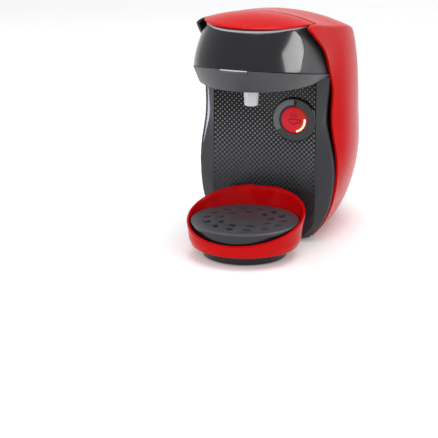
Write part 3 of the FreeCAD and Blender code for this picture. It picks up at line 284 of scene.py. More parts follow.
# %% [markdown]
# ## From arrays to pieces
# A grid of points becomes quads by index arithmetic, with no loop over the vertices. Every
# new piece is then finished in the same order: weld shared edges, point faces outwards,
# give the skin its wall, round the corners, and hand it to the body that carries it.


# %% Grids, welding and finishing
def grid(points, loop=False):
    """Points of shape (rows, columns, 3) in mm, and the quads between them. With loop,
    the last column joins the first."""
    rows, columns = points.shape[:2]
    index = np.arange(rows * columns).reshape(rows, columns)
    if loop:
        index = np.concatenate([index, index[:, :1]], 1)
    quads = np.stack([index[:-1, :-1], index[:-1, 1:], index[1:, 1:], index[1:, :-1]], -1)
    return points.reshape(-1, 3), quads.reshape(-1, 4)


def put_in_scene(name, data):
    """A new object for a mesh, a light or a camera."""
    thing = bpy.data.objects.new(name, data)
    bpy.context.scene.collection.objects.link(thing)
    return thing


def read(items, what):
    """A place kept by every vertex or face, as rows of x, y and z in mm."""
    values = np.zeros(len(items) * 3)
    items.foreach_get(what, values)
    return values.reshape(-1, 3) * 1000


def mirror(patch):
    """The same patch on the other side of the machine, its quads turned round."""
    points, quads = patch
    return points * (-1, 1, 1), quads[:, ::-1]


WELD_DISTANCE, THIN_EDGE = 0.02, 0.01


def weld(mesh, outwards=True):
    work = bmesh.new()
    work.from_mesh(mesh)
    bmesh.ops.remove_doubles(work, verts=work.verts, dist=WELD_DISTANCE / 1000)
    bmesh.ops.dissolve_degenerate(work, edges=work.edges, dist=THIN_EDGE / 1000)
    if outwards:
        bmesh.ops.recalc_face_normals(work, faces=work.faces)
    work.to_mesh(mesh)
    work.free()


def finish(piece, nodes, material, edge=0.0, wall=0.0, sharp=32.0, like=None):
    """Wall thickness inwards, rounded corners, shading split at sharp corners only. The
    piece rides with the first CAD node it stands for, or with the node it is like."""
    if wall:
        solid = piece.modifiers.new("wall", "SOLIDIFY")
        solid.thickness = wall / 1000
        solid.offset = -1.0
    if edge:
        bevel = piece.modifiers.new("soft edge", "BEVEL")
        bevel.width = edge / 1000
        bevel.segments = 3
        bevel.limit_method = "ANGLE"
        bevel.angle_limit = math.radians(40)
    if wall or edge:
        shown = piece.evaluated_get(bpy.context.evaluated_depsgraph_get())
        final = bpy.data.meshes.new_from_object(shown)
        piece.modifiers.clear()
        piece.data = final
    mesh = piece.data
    mesh.polygons.foreach_set("use_smooth", np.ones(len(mesh.polygons), bool))
    mesh.set_sharp_from_angle(angle=math.radians(sharp))
    mesh.materials.clear()
    mesh.materials.append(material)
    model = like or nodes[0]
    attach(piece, CAD[model]["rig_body"])
    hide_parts(*nodes)
    places = read(mesh.vertices, "co")
    low, high = np.array(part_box(model)) * 1000
    off = np.concatenate([places.min(0) - low, places.max(0) - high])
    corners = len(mesh.loops) - 2 * len(mesh.polygons)
    print(f"{piece.name}: {corners} triangles, box off by {np.abs(off).max():.1f} mm")
    return piece


def surface(name, patches, nodes, material, **more):
    """One piece from one or more grids of points in mm, welded where they meet."""
    start, points, quads = 0, [], []
    for patch_points, patch_quads in patches:
        points.append(patch_points)
        quads.append(patch_quads + start)
        start += len(patch_points)
    mesh = bpy.data.meshes.new(name)
    mesh.from_pydata(np.concatenate(points) / 1000, [], np.concatenate(quads).tolist())
    weld(mesh)
    return finish(put_in_scene(name, mesh), nodes, material, **more)


def welded(node, material, edge):
    """A CAD node's own shape as a new piece: its loose triangles are welded, so that
    curved faces shade smoothly and flat faces stay flat."""
    mesh = CAD[node].data.copy()
    weld(mesh, outwards=False)
    finish(put_in_scene(node + "_look", mesh), [node], material, edge=edge)

# %% [markdown]
# ## Finishes as small node recipes
# Moulded plastic is never one flat colour: it has a faint mottle, a grain etched into the
# tool, and a roughness that drifts where hands touch it. These are node textures on
# Object coordinates, so they stay fixed on the part. A wrapped socket turns + and * into
# Math nodes, so that a recipe reads as a sum.


# %% Shader maths in plain expressions
class Value:
    """A socket in a node tree. Sums and products of values add their Math nodes."""

    def __init__(self, finish, socket):
        self.finish = finish
        self.socket = socket

    def math(self, operation, *others):
        inputs = dict(enumerate((self,) + others))
        return self.finish.add("Math", {"operation": operation}, inputs)

    def __add__(self, other):
        return self.math("ADD", other)

    def __sub__(self, other):
        return self.math("SUBTRACT", other)

    def __mul__(self, other):
        return self.math("MULTIPLY", other)

    def __rsub__(self, other):
        return (self * -1.0) + other

    __radd__ = __add__
    __rmul__ = __mul__

    def ease(self, low, high):
        """0 below low and 1 above high, with a soft step between."""
        settings = {"interpolation_type": "SMOOTHSTEP"}
        inputs = {"Value": self, "From Min": low, "From Max": high}
        return self.finish.add("MapRange", settings, inputs)


class Finish:
    """A material: constants set on the shader's own sockets, the rest from nodes."""

    def __init__(self, name, **constants):
        self.material = bpy.data.materials.new(name)
        self.material.use_nodes = True
        self.tree = self.material.node_tree
        self.shader = self.tree.nodes["Principled BSDF"]
        for socket, value in constants.items():
            self.shader.inputs[socket.replace("_", " ")].default_value = value
        coordinates = self.tree.nodes.new("ShaderNodeTexCoord")
        scaled = {0: Value(self, coordinates.outputs["Object"]), "Scale": 1000.0}
        self.place = self.add("VectorMath", {"operation": "SCALE"}, scaled)

    def add(self, kind, settings=None, inputs=None, output=0):
        """Any node: its settings first, then values or links for its sockets."""
        node = self.tree.nodes.new("ShaderNode" + kind)
        for key, value in (settings or {}).items():
            setattr(node, key, value)
        for key, value in (inputs or {}).items():
            self.put(node.inputs[key], value)
        return Value(self, node.outputs[output])

    def put(self, socket, value):
        if isinstance(value, Value):
            self.tree.links.new(value.socket, socket)
        else:
            socket.default_value = value

    def axes(self):
        """x, y and z of the place, in mm."""
        return [self.add("SeparateXYZ", None, {0: self.place}, output=k) for k in range(3)]

    def noise(self, size, detail=2.0, stretch=(1.0, 1.0, 1.0)):
        """Cloudy noise with features about size mm across, longer where stretched."""
        scale = [1.0 / (size * s) for s in stretch]
        place = self.add("Mapping", {"vector_type": "POINT"}, {0: self.place, 3: scale})
        return self.add("TexNoise", None, {"Vector": place, "Scale": 1.0, "Detail": detail})

    def colour(self, low, high, factor):
        """Colour between two, by a factor from 0 to 1."""
        ends = [end if isinstance(end, Value) else (*end, 1.0) for end in (low, high)]
        inputs = {0: factor, 6: ends[0], 7: ends[1]}
        return self.add("Mix", {"data_type": "RGBA", "clamp_factor": True}, inputs, output=2)

    def give(self, **sockets):
        for socket, value in sockets.items():
            self.put(self.shader.inputs[socket.replace("_", " ")], value)

    def done(self, colour, roughness, height, strength, distance):
        """Colour, roughness and a bump, raised by height times distance in mm."""
        inputs = {"Height": height, "Strength": strength, "Distance": distance / 1000}
        bump = self.add("Bump", None, inputs)
        self.give(Base_Color=colour, Roughness=roughness, Normal=bump)
        return self.material


def tint(colour, amount):
    return tuple(min(1.0, c * amount) for c in colour)


def moulded(name, colour, roughness, grain=0.5, depth=0.25, mottle=0.10, **constants):
    """Moulded plastic: etched grain of a size in mm, a faint mottle, handled patches."""
    f = Finish(name, **constants)
    cloud = f.noise(22.0, 3.0)
    fine = f.noise(grain, 3.0)
    shade = (cloud * 0.6 + fine * 0.4).ease(0.30, 0.70)
    tone = f.colour(tint(colour, 1 - mottle), tint(colour, 1 + mottle), shade)
    uneven = (cloud - 0.5) * 0.16 + (fine - 0.5) * 0.10
    return f.done(tone, uneven + roughness, fine, depth, 0.06)


# %% [markdown]
# ## The red covers
# The red is a soft gloss. Up close such a moulding is not a mirror: it has a shallow
# waviness from cooling, a few hair scratches and an uneven film. Waviness goes to the
# bump, scratches and film to the roughness, so broad highlights get soft edges.


# %% Gloss red
def gloss(name, colour, roughness, waves=0.10, **constants):
    f = Finish(name, **constants)
    film = f.noise(30.0, 4.0)
    scratch = f.noise(0.5, 2.0, (1.0, 22.0, 9.0)).ease(0.66, 0.74)
    shade = (film * 0.7 + scratch * 0.3).ease(0.2, 0.8)
    tone = f.colour(tint(colour, 0.93), tint(colour, 1.07), shade)
    wavy = f.noise(9.0, 1.0) * 0.9 + f.noise(0.8, 1.0) * 0.1
    return f.done(tone, film * 0.10 + scratch * 0.03 + (roughness - 0.05), wavy, waves, 0.05)


def button_paint():
    """Gloss red with darker raised lines, turning darker and more orange towards the steeper
    slope at the right as a painted shade with a painted orange glow."""
    f = Finish("button_red", Coat_Weight=0.05, IOR=1.3)
    x, _, z = f.axes()
    relief = f.add("Attribute", {"attribute_name": "relief"}, output=2)
    # Painted shade: the cap's right side, which slopes away from the light, is coloured
    # darker and more orange.
    facet_shade = (x + z * 0.12 - BUTTON_X - BUTTON_Z * 0.12).ease(3.0, 6.0)
    film = f.noise(6.0, 3.0)
    face = f.colour((0.60, 0.004, 0.018), (0.52, 0.014, 0.006), facet_shade)
    tone = f.colour(face, (0.20, 0.002, 0.006), relief * 0.8)
    wavy = f.noise(0.5, 2.0) * 0.3 + film
    return f.done(tone, film * 0.10 + relief * 0.15 + 0.24, wavy, 0.06, 0.05)


RED = gloss("gloss_red", (0.53, 0.002, 0.003), 0.25, Coat_Weight=0.04, Coat_Roughness=0.10,
            IOR=1.15)
BUTTON_RED = button_paint()
SMOKE = gloss("visor_smoke", (0.008, 0.008, 0.010), 0.17, 0.06, Coat_Weight=0.3, IOR=1.45)
BLACK_GLOSS = gloss("black_gloss", (0.008, 0.008, 0.010), 0.12, 0.06, IOR=1.5)

# %% [markdown]
# ## Satin housings, trims and rubber
# The dark frame, chin and back are etched to a fine satin grain, the grate to a coarser
# one. The same recipe makes them all, with another grain size, depth and colour.

# %% Satin and matt plastics
ANTHRACITE = moulded("anthracite_satin", (0.024, 0.0245, 0.029), 0.46, 0.55, 0.30, IOR=1.4)
CHIN_GREY = moulded("chin_satin", (0.034, 0.035, 0.040), 0.42, 0.70, 0.45, 0.14)
GRATE_GREY = moulded("grate_grain", (0.058, 0.061, 0.072), 0.46, 0.80, 0.35, 0.14)
TRAY_BLACK = moulded("tray_black", (0.010, 0.010, 0.013), 0.18, 0.60, 0.10)
# The left cheek, twin of the anthracite right cheek, is a lighter grey as a painted highlight
# on its edge-on side.
LEFT_CHEEK_HIGHLIGHT = moulded("cheek_painted_highlight", (0.13, 0.13, 0.14), 0.34, 0.50, 0.15, 0.08)
TRIM_GREY = moulded("trim_light_grey", (0.33, 0.33, 0.35), 0.34, 0.40, 0.10, 0.05)
CRESCENT_GREY = moulded("crescent_grey", (0.095, 0.104, 0.110), 0.36, 0.40, 0.15, 0.10)
PLAIN_BLACK = moulded("plain_black", (0.020, 0.020, 0.022), 0.50, 0.90, 0.25, 0.15)
NYLON = moulded("natural_nylon", (0.62, 0.61, 0.56), 0.45, 0.60, 0.12, 0.04)
SILICONE = moulded("silicone", (0.60, 0.61, 0.60), 0.38, 1.20, 0.08, 0.05,
                   Subsurface_Weight=0.2, Subsurface_Scale=0.002)
RUBBER = moulded("matt_rubber", (0.018, 0.018, 0.019), 0.72, 0.35, 0.50, 0.18)


# %% [markdown]
# ## Metal, board, clear plastic and light
# Steel gets fine drawn lines along one axis, the circuit board copper runs under its
# lacquer. The tank and the nozzle are clear mouldings, and flow marks from filling the
# mould bend the light a little. The lit arc is brightest in the middle of its width.


# %% Metal, board, clear and lit finishes
def painted_highlight_edge(name, body, rim, low, high):
    """Moulded plastic whose rim above a height is coloured bright grey as a painted
    highlight.
    """
    f = Finish(name)
    _, _, z = f.axes()
    grain = f.noise(0.5, 3.0)
    # Painted highlight: above the height the colour goes over to the bright rim colour.
    tone = f.colour(body, rim, (z + grain * 0.3).ease(low, high))
    return f.done(tone, grain * 0.1 + 0.30, grain, 0.1, 0.05)


def metal(name, colour, roughness, lines=(1.0, 30.0, 1.0)):
    f = Finish(name, Metallic=1.0)
    drawn = f.noise(0.25, 2.0, lines)
    stain = f.noise(14.0, 3.0)
    tone = f.colour(tint(colour, 0.85), tint(colour, 1.08), stain)
    uneven = (drawn - 0.5) * 0.30 + stain * 0.12
    return f.done(tone, uneven + (roughness - 0.06), drawn, 0.20, 0.02)


def circuit_board():
    f = Finish("lacquered_board")
    _, _, z = f.axes()
    runs = (z * 0.9 + f.noise(16.0, 0.0) * 7.0).math("FRACT").ease(0.55, 0.62)
    cells = f.add("TexVoronoi", {"feature": "F1"}, {"Vector": f.place, "Scale": 1 / 5.5})
    pads = 1 - cells.ease(0.16, 0.20)
    green = f.colour((0.012, 0.085, 0.030), (0.030, 0.150, 0.055), runs)
    tone = f.colour(green, (0.62, 0.60, 0.55), pads)
    f.give(Metallic=pads * 0.8)
    uneven = 0.38 - pads * 0.12 + f.noise(6.0) * 0.08
    return f.done(tone, uneven, runs * 0.5 + pads, 0.30, 0.05)


def clear(name, colour, roughness, through=1.0):
    f = Finish(name, Transmission_Weight=through, IOR=1.49)
    flow = f.noise(26.0, 2.0, (1.0, 1.0, 2.5))
    film = f.noise(8.0, 3.0) * 0.05 + (roughness - 0.02)
    return f.done(f.colour(tint(colour, 0.97), colour, flow), film, flow, 0.12, 0.25)


def lit(name, edge, middle, strength):
    f = Finish(name, Roughness=0.3, Emission_Strength=strength)
    x, _, z = f.axes()
    across = (x - BUTTON_X) * (x - BUTTON_X) + (z - BUTTON_Z) * (z - BUTTON_Z)
    core = 1 - (across.math("SQRT") - ARC_R).math("ABSOLUTE").ease(0.1, 1.1)
    glow = f.colour(edge, middle, core)
    f.give(Base_Color=glow, Emission_Color=glow)
    return f.material


# The lid grip's bright rim is a painted highlight along its lip.
GRIP_WITH_HIGHLIGHT = painted_highlight_edge("grip_painted_highlight", (0.045, 0.046, 0.052), (0.55, 0.55, 0.57), 207.6, 208.4)
STEEL = metal("bright_steel", (0.62, 0.62, 0.63), 0.28)
ZINC = metal("zinc_plate", (0.40, 0.41, 0.43), 0.42)
CAST_METAL = metal("cast_metal", (0.55, 0.55, 0.57), 0.50, (6.0, 6.0, 6.0))
BOARD = circuit_board()
TANK_CLEAR = clear("tank_clear", (0.86, 0.86, 0.95), 0.04)
NOZZLE_CLEAR = clear("nozzle_frosted", (0.92, 0.93, 0.94), 0.16, 0.55)
WINDOW_CLEAR = clear("window_clear", (0.80, 0.82, 0.84), 0.04)
GLOW = lit("lit_arc", (1.0, 0.16, 0.03), (1.0, 0.62, 0.36), 3.0)


# %% [markdown]
# ## The halftone panel
# The front panel carries a printed screen of small squares on a lattice turned by 45
# degrees: light points on black at the top, black points on grey at the bottom. A printer
# makes it from one wave pattern and a threshold that changes with height, and so does
# this material: cos(x) * cos(z) has its crests and troughs on the turned lattice, and is
# compared with a level that changes from top to bottom.


# %% Screen-printed panel
PRINT_PITCH = 5.3


def halftone():
    f = Finish("printed_panel", IOR=1.35)
    x, _, z = f.axes()
    pitch = 2 * math.pi / PRINT_PITCH
    wave = (x * pitch).math("COSINE") * (z * pitch).math("COSINE")
    height = z.ease(30.0, 182.0)
    level = height * 1.25 - 0.45
    ink = (wave - level).ease(-0.16, 0.16)
    light = f.colour((0.016, 0.017, 0.020), (0.22, 0.22, 0.24), z.ease(50.0, 160.0))
    dark = f.colour((0.012, 0.012, 0.015), (0.002, 0.002, 0.0025), z.ease(40.0, 70.0))
    smudged = f.noise(18.0, 3.0) * 0.14 + ink * 0.10 + 0.16
    wavy = ink * 0.6 + f.noise(7.0, 1.0) * 0.4
    return f.done(f.colour(dark, light, ink), smudged, wavy, 0.20, 0.04)


PANEL_PRINT = halftone()
print("finishes:", len([m for m in bpy.data.materials if m.use_nodes]))

# %% [markdown]
# ## The red cover
# The real cover is one moulding: a flank, a crowned top and two arms that run forwards
# beside the lid. A box smoothed by subdivision would miss the shut lines, so every patch
# is a grid stretched between four known edge lines (a Coons patch), and its points are
# then dropped onto the body's flank or crown.


# %% Coons patches on the body
def coons(left, right, bottom, top):
    """Blend of four edge lines in a plane. left and right run upwards with the rows,
    bottom and top run with the columns; the bilinear part is taken off once."""
    s = np.linspace(0, 1, len(left))[:, None, None]
    q = np.linspace(0, 1, len(bottom))[None, :, None]
    ruled = (1 - q) * left[:, None] + q * right[:, None]
    ruled = ruled + (1 - s) * bottom[None] + s * top[None]
    corners = ((1 - q) * (1 - s) * left[0] + q * (1 - s) * right[0]
               + (1 - q) * s * left[-1] + q * s * right[-1])
    return ruled - corners


ROUND = 2.6             # radius of the long edge between flank and top
TUCK, TUCK_RUN = 13.0, 30.0     # how far the left arm is drawn in, over what length,
TUCK_Y, TUCK_Z = -22.0, 190.0   # ahead of what depth and above what height,
ARM_NEAREST_X = 63.8    # and how near the middle it may come
ARM_COLUMNS, BODY_COLUMNS, LEFT_ROWS, EDGE_ROWS, HEIGHT_ROWS = 18, 70, 20, 6, 72
ARM_END_Y = float(SHUT_RIM[-1, 0])
ARM_INNER_X, ARM_STRAIGHT_Y = 59.4, 18.0
LEAF_HALF, LEAF_DEPTH, LEAF_BOW = 59.0, 69.0, 6.0
BAY_X = 46.0


def soft_step(value, low, high):
    t = np.clip((value - low) / (high - low), 0, 1)
    return t * t * (3 - 2 * t)


def half_width(y, z, left=False):
    """The flank. On the left it is drawn in ahead of a depth and above a height, so
    that the arm stays in the lee of the head."""
    wide = flank(y, z)
    if not left:
        return wide
    ahead = soft_step(-np.asarray(y), -TUCK_Y, TUCK_RUN - TUCK_Y)
    above = soft_step(np.asarray(z), TUCK_Z, TUCK_Z + TUCK_RUN)
    return wide - np.minimum(TUCK * ahead * above, np.clip(wide - ARM_NEAREST_X, 0, None))


def edge_height(y, left=False):
    """Where the flank meets the top, found on the left by letting the height settle."""
    z = rim_height(y)
    for _ in range(12 if left else 0):
        z = crown(half_width(y, z, left), y)
    return z


def on_flank(plane, left=False):
    """Points (y, z) placed on the flank at their height and depth."""
    y, z = plane[..., 0], plane[..., 1]
    return np.stack([half_width(y, z, left), y, z], -1)


def on_crown(x, y):
    """Points placed on the crowned top."""
    return np.stack([x, y, crown(x, y)], -1)


def rounded_edge(y, left=False):
    """Rows over the long edge at the places y: the flank's last point, the rim and the
    top's first point steer a quadratic Bezier curve."""
    z = edge_height(y, left)
    x = half_width(y, z, left)
    before = on_flank(np.stack([y, z - ROUND], -1), left)
    corner = np.stack([x, y, z], -1)
    after = on_crown(x - ROUND, y)
    t = np.linspace(0, 1, EDGE_ROWS)[:, None, None]
    return grid((1 - t) ** 2 * before + 2 * t * (1 - t) * corner + t * t * after)


def top_start(y, left=False):
    """Where the top begins beside the rounded edge."""
    return half_width(y, edge_height(y, left), left) - ROUND


def side_patch(front, back_y, edge_y, left=False):
    """The flank from a front line back to an upright line at back_y, up to the edge."""
    rim = np.stack([edge_y, edge_height(edge_y, left) - ROUND], -1)
    shares = np.linspace(0, 1, HEIGHT_ROWS)
    front = along(front[front[:, 1] < rim[0, 1]], shares)
    front[-1] = rim[0]
    rise = front[0, 1] + (rim[-1, 1] - front[0, 1]) * shares
    back = np.stack([np.full(HEIGHT_ROWS, back_y), rise], -1)
    low = np.linspace(front[0], back[0], len(edge_y))
    return grid(on_flank(coons(front, back, low, rim), left))


def bow(x, offset=0.0):
    """Back edge of the lid opening: a shallow arc through the two tips."""
    half, rise = LEAF_HALF + offset, LEAF_BOW
    radius = (half ** 2 + rise ** 2) / (2 * rise)
    inside = np.clip(np.abs(x), 0, half)
    arc = np.sqrt(radius ** 2 - inside ** 2) - (radius - rise)
    return LEAF_Y + offset + arc


# %% [markdown]
# The top patch spans from the right edge to the tank. Its first columns end at the lid
# opening's corner, so that the arm joins it point to point. On the left, the same patches
# stop at the tank.

# %% The flanks, the arms and the top
opening_x, opening_y = LEAF_HALF + LID_GAP, LEAF_Y + LID_GAP
shoulder_y = SHUT_Y - 0.1
across = np.linspace(0, 1, 10)
arm_y = np.linspace(ARM_END_Y, opening_y, ARM_COLUMNS)
ahead = np.clip((LEAF_Y - arm_y) / (LEAF_DEPTH + LID_GAP), 0, 1)
arm_inner = np.where(arm_y < LEAF_Y - ARM_STRAIGHT_Y, ARM_INNER_X,
                     opening_x * np.sqrt(1 - ahead ** 2))


def arm_top(outer, inner):
    x = outer[:, None] + (inner - outer)[:, None] * across
    return grid(on_crown(x, arm_y[:, None] + 0 * x))


def top_depth(x, back, row_y, share):
    """Depth of the top's points: in the opening's corner the rows lie straight across,
    and beside it they go over from the opening's bow to the back edge."""
    share = share[:, None]
    bowed = bow(x[:1], LID_GAP) * (1 - share) + back * share
    return np.where(np.abs(x[:1]) >= opening_x, row_y[:, None], bowed)


bay_front_y = bow(BAY_X, LID_GAP)
bay_share = (shoulder_y - bay_front_y) / (REAR_COVER_Y - bay_front_y)
backward = np.concatenate([np.linspace(0, bay_share, LEFT_ROWS),
                           np.linspace(bay_share, 1, BODY_COLUMNS - LEFT_ROWS + 1)[1:]])
back_y = opening_y + (REAR_COVER_Y - opening_y) * backward
start_x = top_start(back_y)
corner_x = start_x - (start_x[0] - opening_x)
outer = start_x[:, None] + (corner_x - start_x)[:, None] * across
inner = corner_x[:, None] + (-BAY_X - corner_x)[:, None] * np.linspace(0, 1, 90)
top_x = np.concatenate([outer, inner[:, 1:]], 1)
edge_y = np.concatenate([arm_y, back_y[1:]])
right_side = [side_patch(SHUT_RIM, REAR_COVER_Y, edge_y), rounded_edge(edge_y),
              grid(on_crown(top_x, top_depth(top_x, REAR_COVER_Y, back_y, backward))),
              arm_top(top_start(arm_y), arm_inner)]

left_y = np.linspace(opening_y, shoulder_y, LEFT_ROWS)
left_start = top_start(left_y, True)
outer = left_start[:, None] + (opening_x - left_start)[:, None] * across
inner = opening_x + (BAY_X - opening_x) * np.linspace(0, 1, 12)[1:]
left_x = np.concatenate([outer, np.broadcast_to(inner, (LEFT_ROWS, len(inner)))], 1)
left_share = np.linspace(0, 1, LEFT_ROWS)
left_edge_y = np.concatenate([arm_y, left_y[1:]])
left_arm_outer = top_start(arm_y, True)
left_side = [arm_top(left_arm_outer, np.minimum(arm_inner, left_arm_outer - 0.4)),
             grid(on_crown(left_x, top_depth(left_x, shoulder_y, left_y, left_share))),
             side_patch(SHUT_RIM[SHUT_RIM[:, 0] < shoulder_y], shoulder_y, left_edge_y, True),
             rounded_edge(left_edge_y, True)]
cover = surface("red_cover", right_side + [mirror(patch) for patch in left_side],
                ["red_shell"], RED, wall=WALL, edge=0.45)

# %% [markdown]
# The left arm, which only closes the gap beside the head, is given the head's dark grey as
# painted shade; the red moulding runs on into this arm.

# %% Left arm in painted shade
SHADED_ARM_X = 52.0
cover.data.materials.append(ANTHRACITE)
centres = read(cover.data.polygons, "center")
# Painted shade: these faces of the red cover take the dark grey.
painted_shade_arm = (centres[:, 0] < -SHADED_ARM_X) & (centres[:, 1] < LEAF_Y)
cover.data.polygons.foreach_set("material_index", painted_shade_arm.astype(np.int32))
print("faces in the dark arm:", int(painted_shade_arm.sum()))

# %% [markdown]
# ## The lid cover
# A leaf of red plastic lies flush in the crown. Its outline is drawn from above, an
# ellipse in front and a shallow arc behind, and every point is lifted onto the crown.
# Near its rim the surface rolls off a little.

# %% Leaf-shaped lid cover
LEAF_INSET, LEAF_DROP = 0.05, 0.04
ROLL_DROP, ROLL_RUN = 0.55, 5.0
turn = np.linspace(0.0, math.pi, 121)[:, None]
share = np.linspace(0, 1, 61)[None]
leaf_x = (LEAF_HALF - LEAF_INSET) * np.cos(turn) + share * 0
leaf_front = LEAF_Y - (LEAF_DEPTH - LEAF_INSET) * np.sin(turn)
leaf_y = leaf_front + share * (bow(leaf_x, -LEAF_INSET) - leaf_front)
inwards = np.minimum(leaf_y - leaf_front, bow(leaf_x) - leaf_y)
roll = ROLL_DROP * (1 - np.clip(inwards / ROLL_RUN, 0, 1)) ** 2
leaf_z = crown(leaf_x, leaf_y) - LEAF_DROP - roll
surface("lid_leaf", [grid(np.stack([leaf_x, leaf_y, leaf_z], -1))], ["lid_cover"], RED,
        wall=1.6, edge=0.45)


# %% [markdown]
# ## The brew head's skin
# Visor and trim band follow one bulging form: three half ellipses, at the crease, at the
# shoulder and above the top, joined by a curve. A point is named by its turn round the
# head and its share of the way up. The visor is the part inside a front outline.


# %% Head form, visor and trim band
HEAD_MIDDLE = 0.352         # share of the way up of the middle section
HEAD_INSET = 0.05
HEAD_SECTIONS = [           # half width, reach, height at the tip, slope along y
    (69.0, 93.0, CREASE_Z, -CREASE_SLOPE),
    (65.0, 86.5, CREASE_Z + 15.0, -0.08),
    (47.0, 58.0, HEIGHT + 6.0, 0.0),
]


def head(turn, up):
    """Point on the head: the parabola through three half ellipses at the same turn."""
    sections = []
    for half, reach, height, slope in HEAD_SECTIONS:
        x = (half - HEAD_INSET) * np.cos(turn)
        y = LEAF_Y - (reach - HEAD_INSET) * np.sin(turn)
        sections.append(np.stack([x, y, height + slope * (y - HEAD_TIP_Y)], -1))
    low, mid, top = sections
    up, k = np.asarray(up)[..., None], HEAD_MIDDLE
    return (low * (up - k) * (up - 1) / k + mid * up * (up - 1) / (k * (k - 1))
            + top * up * (up - k) / (1 - k))


def under_crown(point, drop):
    return crown(point[..., 0], point[..., 1]) - drop - point[..., 2]


def head_patch(turns, ups, drop_low, drop_top, low):
    """Grid between two drops below the crown, or from a given share up."""
    none, full = np.zeros_like(turns), np.ones_like(turns)
    top = solve(lambda u: under_crown(head(turns, u), drop_top), none, full)
    if low is None:
        low = solve(lambda u: under_crown(head(turns, u), drop_low), none, full)
    return head(turns, low + (top - low) * ups)


VISOR_HALF, VISOR_LEAN, VISOR_RISE, VISOR_UPRIGHT = 58.95, 14.0, 29.0, 8.0


def visor_side(z):
    """Half width of the visor from the front: upright, then an arc leaning inwards."""
    radius = (VISOR_RISE ** 2 + VISOR_LEAN ** 2) / (2 * VISOR_LEAN)
    over = np.clip(z - CREASE_Z - VISOR_UPRIGHT, 0, radius * 0.94)
    return VISOR_HALF - radius + np.sqrt(radius ** 2 - over ** 2)


def side_turn(ups, drop_low, drop_top, low, behind):
    """Turn at which each row leaves the visor's outline or reaches the depth behind."""
    def room(turns):
        point = head_patch(turns, ups, drop_low, drop_top, low)
        side = visor_side(point[..., 2]) if low is not None else VISOR_HALF - 1.0
        return np.minimum(side - point[..., 0], behind - point[..., 1])

    return solve(room, np.full(ups.shape, math.pi / 2), np.full(ups.shape, 0.03))


def head_skin(rows, drop_low, drop_top, behind, low=None):
    """Rows across the head between the places where its two sides end."""
    ups = np.linspace(0, 1, rows)[:, None]
    edge = side_turn(ups, drop_low, drop_top, low, behind)
    turns = edge + (math.pi - 2 * edge) * np.linspace(0, 1, 150)[None]
    return [grid(head_patch(turns, ups, drop_low, drop_top, low))]


visor_skin = head_skin(60, 0.0, SKIN + 2.05, LEAF_Y - 12.0, low=0.016)
surface("visor_shell", visor_skin, ["visor"], SMOKE, wall=1.9, edge=0.4)
band = head_skin(7, SKIN + 1.75, SKIN + 0.3, LEAF_Y - 14.0)
surface("trim_band", band, ["lid_trim"], TRIM_GREY, wall=1.8, edge=0.3)


# %% [markdown]
# ## Turned pieces
# Bowl, nozzle and foot are profiles carried round an axis. Their corners become small
# arcs first, because a moulding has no truly sharp edge.


# %% Profiles with soft corners, carried round an axis
def soften(corners, radius, steps=5):
    """Each inner corner of a row of points gives way to a quadratic Bezier curve that
    starts and ends radius away from it, or nearer where a side is short."""
    corners = np.asarray(corners, float)
    before, here, after = corners[:-2], corners[1:-1], corners[2:]
    back, ahead = before - here, after - here
    back_long = np.linalg.norm(back, axis=-1, keepdims=True)
    ahead_long = np.linalg.norm(ahead, axis=-1, keepdims=True)
    reach = np.minimum(radius, 0.45 * np.minimum(back_long, ahead_long))
    a = here + back / back_long * reach
    b = here + ahead / ahead_long * reach
    t = np.linspace(0, 1, steps)[:, None, None]
    curves = (1 - t) ** 2 * a + 2 * t * (1 - t) * here + t * t * b
    curves = np.moveaxis(curves, 0, 1).reshape(-1, 2)
    return np.concatenate([corners[:1], curves, corners[-1:]])


def turned(profile, centre_y, count=120):
    """Rows (radius, height) carried once round an upright axis, counted in columns."""
    profile = np.asarray(profile, float)
    turn = np.linspace(0, 2 * math.pi, count, endpoint=False)[None]
    radius, height = profile[:, :1], profile[:, 1:]
    y = centre_y + radius * np.sin(turn)
    return grid(np.stack([radius * np.cos(turn), y, height + 0 * turn], -1), loop=True)


BOWL_WALL = [(52.0, 11.02), (55.4, 12.0), (57.6, 14.2), (59.2, 18.0), (60.42, 25.0),
             (63.4, 43.0), (65.4, 70.0)]
BOWL_T, BOWL_FLOOR_R, RIM_ROLL = 2.98, 55.6, 0.9
SEAT_R, SEAT_Z, SEAT_SPREAD = 56.5, 14.0, 0.0636    # the cone that the tray sits in


